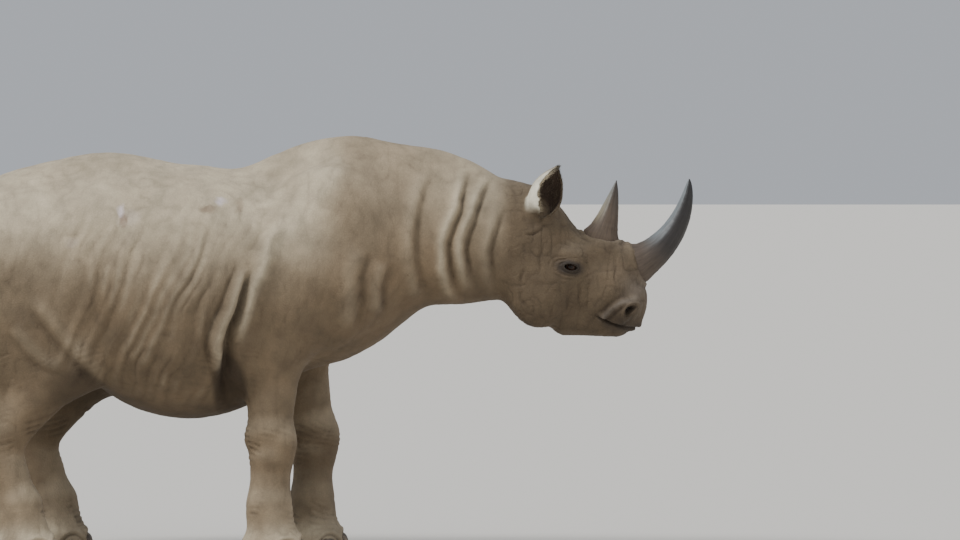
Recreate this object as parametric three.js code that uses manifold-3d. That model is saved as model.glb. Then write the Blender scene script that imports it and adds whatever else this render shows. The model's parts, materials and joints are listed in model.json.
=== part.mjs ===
// Black rhinoceros, standing still, life size. Millimetres, +Z up, head towards +X.
// Lengths along the body are measured from the top of the shoulder hump, widths from the
// middle plane (right side is -Y), and heights from the ground. The body is one smooth
// skin, worked out as a field that is negative inside, and parted into named pieces by
// thin cuts. Horns, nails and eyes are solids of their own, set into that skin.
import * as THREE from "three";
import { mergeVertices } from "three/addons/utils/BufferGeometryUtils.js";
import Module from "manifold-3d";

const wasm = await Module();
wasm.setup();

// Driving sizes.
const withersForward = 203; // the hump's top lies this far ahead of the footprint's middle
const gap = 0.3; // clearance between pieces that meet
const cellOf = { torso: 86, neck: 60, leg: 54, head: 29, sleeve: 75 }; // edge length of the faces
const halfWidthLimit = 520;
const boxOf = { // lowest and highest corner of the room that each piece of skin is drawn in
  torso: [[-1780, -560, 380], [520, 560, 1720]],
  neck: [[60, -400, 740], [820, 400, 1700]],
  head: [[520, -330, 740], [1260, 330, 1500]],
};
const legRoom = { behind: 560, ahead: 440, side: 560, across: 40, low: -120, top: 860 };

const foreFoot = { right: -270, left: -120 }; // centre of each foot along the body
const hindFoot = { right: -1200, left: -1095 };
const foreTrack = 205; // feet stand this far from the middle plane
const hindTrack = 215;
const footRadii = { length: 122, width: 108, height: 72 };
const footCentreHeight = 26;

const frontHorn = { base: [1112, 1104], length: 388, from: 24, to: 88, bend: 0.85 };
frontHorn.radius = (u) => 66 * (1 - u) ** 0.62 + 12 * Math.exp(-u / 0.08);
const rearHorn = { base: [973, 1205], length: 216, from: 70, to: 80, bend: 1 };
rearHorn.radius = (u) => 56 * (1 - u) ** 0.8 + 15 * Math.exp(-u / 0.12);
const hornRoot = 60; // how far a horn's core reaches back before the skin trims it
const hornMesh = { steps: 60, rings: 11, sides: 14, flat: 0.9, tip: 3 };

const eye = { x: 853, z: 1089, radius: 21, depth: 15 };
const lid = { length: 38, height: 29, depth: 15, sunk: 4, turn: 0.2 };
const lidOpening = { length: 21, height: 12, depth: 23, out: 6, ahead: 1, turn: 0.15 };
const nostril = { x: 1078, z: 927, length: 30, height: 17, depth: 26, tilt: 38 };
const mouth = {
  centreX: 965, frontZ: 852, cornerZ: 903, cornerAngle: 100, deep: 13, tall: 9, out: 12, rings: 24,
};

const ear = {
  length: 222, base: [706, 106, 1276], thickness: 10, root: 34, stalk: 34, spread: 66,
  widestAt: 0.52, tip: 5, rolledHalf: 162, openHalf: 94, levels: 11, arc: 8,
};
const tail = {
  rootRadius: 50, midRadius: 24, endRadius: 13, flat: 0.9, rings: 16, sides: 12,
  start: [-1556, 1198], cut: [900, 200, 1600],
};
const lock = {
  count: 22, from: 0.66, shortest: 95, more: 45, narrowest: 7, wider: 4, thick: 2.6, spread: 0.32,
};
const nail = { thickness: 22, height: 52, width: 51, sunk: 12, up: 18, sideTurn: 60, sideScale: 0.88 };

// Colours of the animal.
const hide = { color: 0x8f7d69, roughness: 0.95, metalness: 0 };
const headHide = { color: 0x6b5948, roughness: 0.95, metalness: 0 };
const horn = { color: 0x4a4742, roughness: 0.7, metalness: 0 };
const hoof = { color: 0x5a5047, roughness: 0.75, metalness: 0 };
const wetEye = { color: 0x17100c, roughness: 0.15, metalness: 0 };

// Fields: distance from a shape's surface, negative inside.

function ball(cx, cy, cz, rx, ry, rz) {
  return (x, y, z) => {
    const a = [(x - cx) / rx, (y - cy) / ry, (z - cz) / rz];
    const near = Math.hypot(...a);
    const slope = Math.hypot(a[0] / rx, a[1] / ry, a[2] / rz);
    return slope < 1e-9 ? -Math.min(rx, ry, rz) : (near * (near - 1)) / slope;
  };
}

// A rounded bar from one ball to another; flat < 1 squeezes it in width about its axis.
function bar(a, ra, b, rb, flat = 1) {
  const d = [b[0] - a[0], b[1] - a[1], b[2] - a[2]];
  const dd = d[0] ** 2 + d[1] ** 2 + d[2] ** 2;
  return (x, y, z) => {
    const middleY = a[1] + d[1] * 0.5;
    const q = [x - a[0], middleY + (y - middleY) / flat - a[1], z - a[2]];
    let u = (q[0] * d[0] + q[1] * d[1] + q[2] * d[2]) / dd;
    u = Math.min(1, Math.max(0, u));
    const away = Math.hypot(q[0] - u * d[0], q[1] - u * d[1], q[2] - u * d[2]);
    return (away - (ra + u * (rb - ra))) * flat;
  };
}

const pair = (shape) => (x, y, z) => shape(x, Math.abs(y), z);

// Joins shapes one after another, each with its own width of fillet.
function blend(shapes) {
  return (x, y, z) => {
    let sum = 1e6;
    for (const [shape, fillet] of shapes) {
      const next = shape(x, y, z);
      const h = Math.max(fillet - Math.abs(sum - next), 0) / fillet;
      sum = Math.min(sum, next) - (h * h * fillet) / 4;
    }
    return sum;
  };
}

// From the ankle the leg flares into the foot, which stands on its flat sole.
const ankleAndFoot = (footX, y) => [
  [bar([footX - 8, y, 190], 78, [footX + 2, y, 70], 101), 40],
  [ball(footX, y, footCentreHeight, footRadii.length, footRadii.width, footRadii.height), 40],
];

function foreLeg(footX, side) {
  const y = side * foreTrack;
  const elbowX = footX * 0.55 - 140;
  return [
    [bar([-150, side * 205, 1060], 160, [elbowX, side * 215, 815], 108, 0.8), 110], // upper arm
    [bar([elbowX + 28, side * 208, 770], 108, [footX - 6, y, 480], 82, 0.92), 60], // forearm
    [bar([footX, y, 462], 86, [footX + 2, y, 395], 83), 30], // wrist
    [ball(footX + 36, y, 430, 60, 72, 62), 30], // its knobbly front
    [ball(footX - 54, y, 446, 42, 50, 46), 34], // and the small bone behind it
    [bar([footX - 2, y, 350], 76, [footX - 8, y, 190], 78), 34],
    ...ankleAndFoot(footX, y),
  ];
}

function hindLeg(footX, side) {
  const y = side * hindTrack;
  const stifle = [footX + 190, side * 225, 760];
  const hock = [footX - 92, y, 440];
  return [
    [bar([-1230, side * 190, 1070], 215, stifle, 125, 0.75), 120], // thigh
    [bar([footX - 50, side * 205, 880], 165, [footX - 84, y, 500], 74, 0.8), 90], // ham
    [bar(stifle, 108, [footX - 40, y, 500], 86, 0.85), 70], // shin
    [ball(footX - 140, y, 490, 46, 44, 62), 44], // point of the hock
    [bar(hock, 77, [footX - 22, y, 190], 77, 0.95), 40],
    ...ankleAndFoot(footX, y),
  ];
}

const trunk = [
  [ball(-590, 0, 985, 500, 452, 472), 40], // belly
  [ball(-640, 0, 1080, 690, 385, 362), 90], // ribs and back
  [ball(-140, 0, 1062, 400, 315, 350), 120], // chest
  [ball(-15, 0, 1330, 372, 120, 232), 120], // hump
  [ball(285, 0, 1290, 300, 105, 233), 60], // crest of the neck
  [pair(ball(-75, 212, 1130, 235, 112, 320)), 80], // shoulder blades
  [pair(ball(-215, 250, 945, 150, 78, 170)), 70], // upper arm muscle
  [ball(-1020, 0, 1115, 560, 345, 372), 120], // rump
  [pair(ball(-905, 225, 1250, 120, 90, 130)), 90], // hip bones
  [pair(ball(-1120, 232, 920, 250, 120, 260)), 90], // thigh muscle
  [ball(-900, 0, 1325, 270, 165, 178), 90], // croup
  [pair(ball(-1330, 165, 1030, 270, 165, 300)), 100], // buttocks
  [bar([-1330, 0, 1240], 95, [-1500, 0, 1250], 52), 70], // root of the tail
];

const neckAndHead = [
  [bar([60, 0, 1215], 300, [420, 0, 1195], 232, 0.82), 140], // neck
  [bar([420, 0, 1195], 232, [640, 0, 1180], 212, 0.84), 60],
  [bar([645, 0, 1235], 165, [815, 0, 1085], 140, 0.9), 50], // skull
  [pair(ball(732, 76, 1008, 122, 88, 146)), 60], // jaw muscle
  [bar([800, 0, 1035], 165, [965, 0, 1000], 155, 0.68), 60], // cheek to face
  [pair(ball(800, 98, 1050, 110, 50, 46)), 40], // cheek bone
  [pair(ball(846, 94, 1118, 62, 50, 46)), 34], // brow
  [ball(962, 0, 1150, 92, 82, 62), 50], // boss under the rear horn
  [ball(1066, 0, 1085, 70, 88, 92), 40], // boss under the front horn
  [bar([990, 0, 985], 138, [1030, 0, 955], 112, 0.82), 40], // muzzle
  [pair(ball(1062, 76, 934, 52, 42, 44)), 26], // nostril swelling
  [ball(1070, 0, 910, 55, 70, 50), 20], // upper lip
  [ball(1092, 0, 882, 28, 32, 33), 20], // its pointed tip
  [bar([845, 0, 905], 80, [1024, 0, 866], 44, 1.2), 22], // chin and lower lip
  [pair(ball(702, 94, 1266, 48, 40, 46)), 36], // root of the ear
];

const body = blend([
  ...trunk,
  ...neckAndHead,
  ...foreLeg(foreFoot.right, -1),
  ...foreLeg(foreFoot.left, 1),
  ...hindLeg(hindFoot.right, -1),
  ...hindLeg(hindFoot.left, 1),
]);

// Turning the field into a closed mesh of even faces.

function slope(field, p) {
  const h = 1;
  return [0, 1, 2].map((axis) => {
    const a = [...p];
    const b = [...p];
    a[axis] -= h;
    b[axis] += h;
    return (field(...b) - field(...a)) / (2 * h);
  });
}

function settle(field, p, steps = 3) {
  for (let i = 0; i < steps; i += 1) {
    const g = slope(field, p);
    const gg = g[0] ** 2 + g[1] ** 2 + g[2] ** 2;
    const move = field(...p) / Math.max(gg, 0.2);
    p = p.map((v, axis) => v - move * g[axis]);
  }
  return p;
}

function meshOf(field, low, high, cell) {
  const count = low.map((v, axis) => Math.ceil((high[axis] - v) / cell) + 1);
  const middle = low.map((v, axis) => (v + high[axis]) / 2);
  const half = low.map((v, axis) => (high[axis] - v) / 2 - cell * 1.1);
  const within = (x, y, z) =>
    Math.max(
      field(x, y, z),
      Math.abs(x - middle[0]) - half[0],
      Math.abs(y - middle[1]) - half[1],
      Math.abs(z - middle[2]) - half[2],
    );
  const at = (i, j, k) => (i * count[1] + j) * count[2] + k;
  const place = (i, j, k) => [low[0] + i * cell, low[1] + j * cell, low[2] + k * cell];
  const value = new Float64Array(count[0] * count[1] * count[2]);
  for (let i = 0; i < count[0]; i += 1)
    for (let j = 0; j < count[1]; j += 1)
      for (let k = 0; k < count[2]; k += 1) value[at(i, j, k)] = within(...place(i, j, k));

  const corners = [0, 1, 2, 3, 4, 5, 6, 7].map((n) => [n & 1, (n >> 1) & 1, n >> 2]);
  const edges = [];
  for (let a = 0; a < 8; a += 1)
    for (const bit of [1, 2, 4]) if (!(a & bit)) edges.push([a, a | bit]);

  const points = [];
  const cellPoint = new Map();
  for (let i = 0; i < count[0] - 1; i += 1)
    for (let j = 0; j < count[1] - 1; j += 1)
      for (let k = 0; k < count[2] - 1; k += 1) {
        const v = corners.map(([a, b, c]) => value[at(i + a, j + b, k + c)]);
        const sum = [0, 0, 0];
        let hits = 0;
        for (const [a, b] of edges) {
          if (v[a] < 0 === v[b] < 0) continue;
          const u = v[a] / (v[a] - v[b]);
          for (let axis = 0; axis < 3; axis += 1)
            sum[axis] += corners[a][axis] + u * (corners[b][axis] - corners[a][axis]);
          hits += 1;
        }
        if (!hits) continue;
        const base = place(i, j, k);
        cellPoint.set(at(i, j, k), points.length);
        points.push(base.map((b, axis) => b + (cell * sum[axis]) / hits));
      }

  const quads = [];
  for (let i = 1; i < count[0] - 1; i += 1)
    for (let j = 1; j < count[1] - 1; j += 1)
      for (let k = 1; k < count[2] - 1; k += 1)
        for (let axis = 0; axis < 3; axis += 1) {
          const here = value[at(i, j, k)] < 0;
          const step = [0, 0, 0];
          step[axis] = 1;
          if (here === value[at(i + step[0], j + step[1], k + step[2])] < 0) continue;
          const b = [0, 0, 0];
          const c = [0, 0, 0];
          b[(axis + 1) % 3] = 1;
          c[(axis + 2) % 3] = 1;
          const quad = [[0, 0], [1, 0], [1, 1], [0, 1]].map(([m, n]) =>
            cellPoint.get(at(i - m * b[0] - n * c[0], j - m * b[1] - n * c[1],
              k - m * b[2] - n * c[2])));
          quads.push(here ? quad : quad.reverse());
        }

  const around = points.map(() => new Set());
  for (const quad of quads)
    quad.forEach((p, n) => {
      around[p].add(quad[(n + 1) % 4]);
      around[p].add(quad[(n + 3) % 4]);
    });
  let settled = points.map((p) => settle(within, p));
  for (let round = 0; round < 3; round += 1)
    settled = settled.map((p, n) => {
      const others = [...around[n]].map((m) => settled[m]);
      const mean = p.map((v, axis) => others.reduce((s, q) => s + q[axis], 0) / others.length);
      return settle(within, p.map((v, axis) => v * 0.5 + mean[axis] * 0.5), 2);
    });

  const far = (a, b) => Math.hypot(...settled[a].map((v, axis) => v - settled[b][axis]));
  const index = quads.flatMap(([a, b, c, d]) =>
    far(a, c) < far(b, d) ? [a, b, c, a, c, d] : [a, b, d, b, c, d]);
  return geometryOf(settled.flat(), index);
}

function geometryOf(positions, index) {
  const geometry = new THREE.BufferGeometry();
  geometry.setAttribute("position", new THREE.Float32BufferAttribute(positions, 3));
  geometry.setIndex(index);
  return geometry;
}

// Joining and cutting.

function solidOf(geometry) {
  const bare = geometry.clone();
  for (const name of ["normal", "uv", "uv1", "uv2"]) bare.deleteAttribute(name);
  const merged = mergeVertices(bare, 1e-4);
  return new wasm.Manifold(new wasm.Mesh({
    numProp: 3,
    vertProperties: new Float32Array(merged.attributes.position.array),
    triVerts: new Uint32Array(merged.index.array),
  }));
}

// Keeps the one largest body and drops slivers shorter than a tenth of a millimetre.
const largest = (solid) =>
  solid.decompose().reduce((best, one) => (one.volume() > best.volume() ? one : best))
    .asOriginal().simplify(0.1);

function shapeOf(solid) {
  const mesh = solid.getMesh();
  const positions = [];
  for (let n = 0; n < mesh.vertProperties.length; n += mesh.numProp)
    positions.push(...mesh.vertProperties.slice(n, n + 3));
  return geometryOf(positions, [...mesh.triVerts]);
}

// The same solid with its skin moved outwards by a small distance.
function swollen(solid, distance) {
  const geometry = shapeOf(solid);
  geometry.computeVertexNormals();
  const { position, normal } = geometry.attributes;
  for (let n = 0; n < position.count; n += 1)
    position.setXYZ(n,
      position.getX(n) + normal.getX(n) * distance,
      position.getY(n) + normal.getY(n) * distance,
      position.getZ(n) + normal.getZ(n) * distance);
  return solidOf(geometry);
}

// The body's skin inside a box. It is drawn in by a hair, so that two folds of skin that
// touch along an edge come apart.
const skinSolid = (low, high, cell) => swollen(solidOf(meshOf(body, low, high, cell)), -0.05);

// A block whose outline is seen from the side, from one width to another.
function prism(outline, fromY, toY) {
  const shape = new THREE.Shape(outline.map(([x, z]) => new THREE.Vector2(x, z)));
  const block = new THREE.ExtrudeGeometry(shape, { depth: toY - fromY, bevelEnabled: false });
  return solidOf(block.rotateX(Math.PI / 2).translate(0, toY, 0));
}

function egg(centre, radii, turn = [0, 0, 0], segments = [16, 10]) {
  const shape = new THREE.SphereGeometry(1, ...segments);
  shape.scale(...radii);
  shape.applyMatrix4(new THREE.Matrix4().makeRotationFromEuler(new THREE.Euler(...turn)));
  return solidOf(shape.translate(...centre));
}

// Closed skin over a row of rings that all have the same number of points. From the point
// numbered turned on, faces are split the other way, so that both sides of a leaf match.
function loft(rings, capStart, capEnd, turned = Infinity) {
  const around = rings[0].length;
  const positions = rings.flat(2);
  const index = [];
  for (let r = 0; r < rings.length - 1; r += 1)
    for (let n = 0; n < around; n += 1) {
      const a = r * around + n;
      const b = r * around + ((n + 1) % around);
      if (n < turned) index.push(a, b, b + around, a, b + around, a + around);
      else index.push(a, b, a + around, b, b + around, a + around);
    }
  const first = (rings.length - 1) * around;
  index.push(...capStart(0).flatMap(([a, b, c]) => [a, c, b]));
  index.push(...capEnd(first).flat());
  return geometryOf(positions, index);
}

const fan = (around) => (from) =>
  Array.from({ length: around - 2 }, (_, n) => [from, from + n + 1, from + n + 2]);

// A tapering rod of round section along a centre line in the middle plane.
function rod(centreAt, radiusAt, rings, sides, flat = 1) {
  const all = [];
  for (let r = 0; r <= rings; r += 1) {
    const u = r / rings;
    const [x, z] = centreAt(u);
    const [ax, az] = centreAt(Math.max(0, u - 0.01));
    const [bx, bz] = centreAt(Math.min(1, u + 0.01));
    const long = Math.hypot(bx - ax, bz - az);
    const across = [(az - bz) / long, (bx - ax) / long];
    const ring = [];
    for (let n = 0; n < sides; n += 1) {
      const turn = (n / sides) * Math.PI * 2;
      const out = Math.cos(turn) * radiusAt(u);
      ring.push([x + across[0] * out, -Math.sin(turn) * radiusAt(u) * flat, z + across[1] * out]);
    }
    all.push(ring);
  }
  return loft(all, fan(sides), fan(sides));
}

// Where the body is parted, seen from the side.

const far = 3000;
const headLine = [[668, 1500], [610, 780]]; // behind the ears and the jaw
const neckLine = [[395, 1620], [205, 780]]; // ahead of the shoulder
const moved = (line, by) => line.map(([x, z]) => [x + by, z]);

// Everything on one side of a slanted line: side 1 is ahead of it, -1 behind.
function beyond([top, foot], side) {
  const lean = (top[0] - foot[0]) / (top[1] - foot[1]);
  const reach = 1000;
  const upper = [top[0] + lean * reach, top[1] + reach];
  const lower = [foot[0] - lean * reach, foot[1] - reach];
  const outline = [lower, [side * far, lower[1]], [side * far, upper[1]], upper];
  return prism(side > 0 ? outline : outline.reverse(), -halfWidthLimit, halfWidthLimit);
}

const below = (height) =>
  solidOf(new THREE.BoxGeometry(2 * far, 2 * far, far).translate(0, 0, height - far / 2));
const floor = below(0);

// Each leg leaves the body along a sleeve that follows the leg's own shapes a little
// outside them, under a level cut.
const legTop = { fore: 660, hind: 680 };
const sleeveOut = 26;

function sleeve(shapes, footX, side) {
  const leg = blend(shapes);
  const wide = (x, y, z) => leg(x, y, z) - sleeveOut;
  const reach = side * legRoom.side;
  return solidOf(meshOf(wide, [footX - legRoom.behind, Math.min(0, reach), legRoom.low - 100],
    [footX + legRoom.ahead, Math.max(0, reach), legRoom.top + 40], cellOf.sleeve));
}

// Torso, neck and legs.

const plan = {
  front_right: { shapes: foreLeg(foreFoot.right, -1), x: foreFoot.right, side: -1,
    track: foreTrack, top: legTop.fore },
  front_left: { shapes: foreLeg(foreFoot.left, 1), x: foreFoot.left, side: 1,
    track: foreTrack, top: legTop.fore },
  hind_right: { shapes: hindLeg(hindFoot.right, -1), x: hindFoot.right, side: -1,
    track: hindTrack, top: legTop.hind },
  hind_left: { shapes: hindLeg(hindFoot.left, 1), x: hindFoot.left, side: 1,
    track: hindTrack, top: legTop.hind },
};
for (const one of Object.values(plan)) one.sleeve = sleeve(one.shapes, one.x, one.side);

// A slanted cut through tail.start parts the tail from the rump.
const tailPath = new THREE.CatmullRomCurve3([
  [tail.start[0] + 40, tail.start[1] + 40], tail.start, [-1625, 1105], [-1668, 980], [-1680, 840],
  [-1674, 700], [-1664, 610],
].map(([x, z]) => new THREE.Vector3(x, 0, z)));

function tailCentre(u) {
  const p = tailPath.getPoint(u);
  return [p.x, p.z];
}

const tailRadius = (u) =>
  tail.endRadius + (tail.midRadius - tail.endRadius) * (1 - u)
    + (tail.rootRadius - tail.midRadius) * (1 - u) ** 3;

const tailRod = solidOf(rod(tailCentre, tailRadius, tail.rings, tail.sides, tail.flat));

// A block on one side of the slanted cut through the tail's root: 1 is the tail's side.
function tailBlock(side, shift) {
  const block = new THREE.BoxGeometry(...tail.cut);
  const away = side * (tail.cut[0] / 2 + shift) * Math.SQRT1_2;
  return solidOf(block.rotateY(-Math.PI / 4)
    .translate(tail.start[0] - away, 0, tail.start[1] - away));
}

const trunkSkin = skinSolid(...boxOf.torso, cellOf.torso);
let torso = trunkSkin.intersect(beyond(moved(neckLine, -gap), -1));
for (const one of Object.values(plan))
  torso = torso.subtract(swollen(one.sleeve, gap).intersect(below(one.top + gap)));
torso = largest(torso.add(tailRod.subtract(tailBlock(1, -gap))));

const neck = largest(
  skinSolid(...boxOf.neck, cellOf.neck)
    .intersect(beyond(neckLine, 1)).intersect(beyond(moved(headLine, -gap), -1)),
);

function nailSolids(x, y) {
  return [-1, 0, 1].map((toe) => {
    const turn = THREE.MathUtils.degToRad(toe * nail.sideTurn);
    const size = toe ? nail.sideScale : 1;
    const reach = (radius) => radius - nail.sunk;
    const centre = [
      x + Math.cos(turn) * reach(footRadii.length), y + Math.sin(turn) * reach(footRadii.width),
      nail.up,
    ];
    const make = (grow) =>
      egg(centre, [nail.thickness + grow, nail.width * size + grow, nail.height * size + grow],
        [0, 0, turn], [8, 6]);
    return { own: make(0).subtract(floor), room: make(gap) };
  });
}

const legs = {};
for (const [name, one] of Object.entries(plan)) {
  const { behind, ahead, side, across } = legRoom;
  const low = [one.x - behind, one.side > 0 ? -across : -side, legRoom.low];
  const high = [one.x + ahead, one.side > 0 ? side : across, legRoom.top];
  let solid = skinSolid(low, high, cellOf.leg).intersect(one.sleeve).intersect(below(one.top));
  const nails = nailSolids(one.x, one.side * one.track);
  for (const toe of nails) solid = solid.subtract(toe.room);
  legs[name] = { solid: largest(solid.subtract(floor)), nails: nails.map((toe) => toe.own) };
}

// Head.

let head = skinSolid(...boxOf.head, cellOf.head)
  .intersect(beyond(headLine, 1));

// Width of the head's skin at a place seen from the side.
function skinY(x, z) {
  let y = 320;
  while (y > 0 && body(x, y, z) > 0) y -= 0.5;
  return y;
}

// Eyes sit in their sockets, under an upper and a lower lid.
const eyeY = skinY(eye.x, eye.z);
const eyes = {};
for (const [name, side] of [["right", -1], ["left", 1]]) {
  const centre = [eye.x, side * (eyeY - eye.depth), eye.z];
  const lids = egg([eye.x, side * (eyeY - lid.sunk), eye.z],
    [lid.length, lid.depth, lid.height], [0, lid.turn, 0]);
  const opening = egg([eye.x + lidOpening.ahead, side * (eyeY + lidOpening.out), eye.z],
    [lidOpening.length, lidOpening.depth, lidOpening.height], [0, lidOpening.turn, 0]);
  head = head.add(lids).subtract(opening).subtract(egg(centre,
    Array(3).fill(eye.radius + gap)));
  eyes[name] = egg(centre, Array(3).fill(eye.radius));
}

// Nostrils: slanted hollows in the side of the muzzle.
const nostrilY = skinY(nostril.x, nostril.z);
const tilt = THREE.MathUtils.degToRad(-nostril.tilt);
for (const side of [-1, 1])
  head = head.subtract(egg([nostril.x, side * (nostrilY + 4), nostril.z],
    [nostril.length, nostril.depth, nostril.height], [0, tilt, 0]));

// The mouth is a groove that runs round the muzzle from corner to corner.
const groove = [];
for (let n = 0; n <= mouth.rings; n += 1) {
  const share = (2 * n) / mouth.rings - 1;
  const turn = THREE.MathUtils.degToRad(share * mouth.cornerAngle);
  const z = mouth.frontZ + (mouth.cornerZ - mouth.frontZ) * Math.abs(share) ** 1.6;
  const across = [Math.cos(turn), Math.sin(turn)];
  let reach = 260;
  while (body(mouth.centreX + across[0] * reach, across[1] * reach, z) > 0) reach -= 0.5;
  const fade = 1 - 0.75 * Math.abs(share) ** 6;
  const deep = mouth.deep * fade;
  groove.push([[mouth.out, 1], [mouth.out, -1], [-deep, -0.25], [-deep, 0.25]]
    .map(([out, up]) => [
      mouth.centreX + across[0] * (reach + out), across[1] * (reach + out),
      z + (up * mouth.tall * fade) / 2,
    ]));
}
head = head.subtract(solidOf(loft(groove, fan(4), fan(4))));
head = largest(head);
const headSkin = swollen(head, gap);

// Horns: solid, curved in the middle plane, flared where they meet the skin.

function hornSolid(size) {
  const { steps, rings, sides, flat, tip } = hornMesh;
  const line = [[0, 0]];
  for (let n = 0; n < steps; n += 1) {
    const turn = THREE.MathUtils.degToRad(
      size.from + (size.to - size.from) * ((n + 0.5) / steps) ** size.bend);
    const last = line[n];
    const step = size.length / steps;
    line.push([last[0] + Math.cos(turn) * step, last[1] + Math.sin(turn) * step]);
  }
  const start = THREE.MathUtils.degToRad(size.from);
  const share = hornRoot / (hornRoot + size.length);
  const centreAt = (u) => {
    const along = (u - share) / (1 - share);
    if (along < 0) {
      const back = -along * size.length;
      return [size.base[0] - Math.cos(start) * back, size.base[1] - Math.sin(start) * back];
    }
    const n = Math.min(along * steps, steps - 1e-6);
    const k = Math.floor(n);
    const mix = n - k;
    return [0, 1].map((axis) =>
      size.base[axis] + line[k][axis] * (1 - mix) + line[k + 1][axis] * mix);
  };
  const radiusAt = (u) => Math.max(tip, size.radius(Math.max(0, (u - share) / (1 - share))));
  return solidOf(rod(centreAt, radiusAt, rings, sides, flat));
}

const hornFront = largest(hornSolid(frontHorn).subtract(headSkin));
const hornRear = largest(hornSolid(rearHorn).subtract(headSkin));

// Ears: cupped leaves, rolled at the root, open to the front and the side.

function earSolid(side) {
  const along = new THREE.Vector3(0.42, 0.2, 0.885).normalize();
  const opening = new THREE.Vector3(0.62, 0.78, -0.1);
  opening.addScaledVector(along, -opening.dot(along)).normalize();
  const back = opening.clone().negate();
  const across = new THREE.Vector3().crossVectors(along, back);
  const rings = [];
  const { levels, arc, widestAt } = ear;
  for (let r = 0; r <= levels; r += 1) {
    const u = r / levels;
    const long = -ear.root + u * (ear.length + ear.root);
    const swell = THREE.MathUtils.smoothstep(u, -0.05, 0.56);
    const wide = THREE.MathUtils.lerp(ear.stalk, ear.spread, swell);
    const narrowing = Math.max(0, (u - widestAt) / (1 - widestAt)) ** 2.1;
    const radius = Math.max(ear.tip, wide * (1 - narrowing));
    const open = THREE.MathUtils.smoothstep(u, 0.2, 0.7);
    const half = THREE.MathUtils.degToRad(
      THREE.MathUtils.lerp(ear.rolledHalf, ear.openHalf, open));
    const wall = Math.min(ear.thickness, radius * 0.45);
    const centre = new THREE.Vector3(ear.base[0], ear.base[1], ear.base[2])
      .addScaledVector(along, long)
      .addScaledVector(opening, radius * 0.35 + 10 * u * u);
    const ring = [];
    for (const [from, to, size] of [[-half, half, radius], [half, -half, radius - wall]])
      for (let n = 0; n < arc; n += 1) {
        const turn = from + ((to - from) * n) / (arc - 1);
        const p = centre.clone().addScaledVector(back, Math.cos(turn) * size)
          .addScaledVector(across, Math.sin(turn) * size);
        ring.push([p.x, p.y, p.z]);
      }
    rings.push(ring);
  }
  const ends = (from) => {
    const faces = [];
    for (let n = 0; n < arc - 1; n += 1) {
      const inner = 2 * arc - 1 - n;
      faces.push([from + n, from + n + 1, from + inner - 1],
        [from + n, from + inner - 1, from + inner]);
    }
    return faces;
  };
  const shape = loft(rings, ends, ends, arc);
  if (side < 0) {
    shape.scale(1, -1, 1);
    const index = shape.index.array;
    for (let n = 0; n < index.length; n += 3)
      [index[n], index[n + 1]] = [index[n + 1], index[n]];
  }
  return largest(solidOf(shape).subtract(headSkin));
}

// Tail: a tapering rod with a flat tassel of stiff bristles in locks.

let seed = 41;
const random = () => {
  seed = (seed * 16807) % 2147483647;
  return seed / 2147483647;
};

function lockSolid(root, out, length, width) {
  const rings = [];
  for (let r = 0; r <= 3; r += 1) {
    const u = r / 3;
    const bow = Math.sin((u * Math.PI) / 2);
    const aside = length * lock.spread * bow;
    const middle = [root[0] + out[0] * aside, root[1] + out[1] * aside, root[2] - length * u];
    const wide = width * (1 - 0.86 * u ** 1.4);
    const thick = lock.thick * (1 - 0.6 * u);
    rings.push([[-1, -1], [1, -1], [1, 1], [-1, 1]].map(([a, b]) => [
      middle[0] + out[0] * b * thick - out[1] * a * wide,
      middle[1] + out[1] * b * thick + out[0] * a * wide,
      middle[2] + b * thick * 0.3,
    ]));
  }
  return solidOf(loft(rings, fan(4), fan(4)));
}

function tailSolid() {
  let solid = tailRod;
  for (let n = 0; n < lock.count; n += 1) {
    const u = lock.from + (1 - lock.from) * ((n + 0.5) / lock.count);
    const [x, z] = tailCentre(u);
    const edge = n % 2 ? 0 : Math.PI;
    const turn = edge + (random() - 0.5) * 1.7;
    const out = [Math.cos(turn), Math.sin(turn)];
    const sunk = tailRadius(u) * 0.35;
    const length = (lock.shortest + lock.more * random()) * (0.75 + 0.35 * u);
    solid = solid.add(lockSolid([x + out[0] * sunk, out[1] * sunk, z], out, length,
      lock.narrowest + lock.wider * random()));
  }
  return largest(solid.subtract(tailBlock(-1, 0)).subtract(swollen(trunkSkin, gap)));
}

// The scene.

const group = new THREE.Group();
group.name = "black_rhinoceros";

function put(name, solid, look) {
  const mesh = new THREE.Mesh(shapeOf(solid), new THREE.MeshStandardMaterial(look));
  mesh.name = name;
  mesh.position.x = withersForward;
  group.add(mesh);
}

put("torso", torso, hide);
put("neck", neck, hide);
put("head", head, headHide);
put("tail", tailSolid(), hide);
put("ear_right", earSolid(-1), headHide);
put("ear_left", earSolid(1), headHide);
put("eye_right", eyes.right, wetEye);
put("eye_left", eyes.left, wetEye);
put("horn_front", hornFront, horn);
put("horn_rear", hornRear, horn);
for (const [name, { solid, nails }] of Object.entries(legs)) {
  put(`leg_${name}`, solid, hide);
  nails.forEach((one, n) => put(`nail_${name}_${n + 1}`, one, hoof));
}

export default group;
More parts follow.
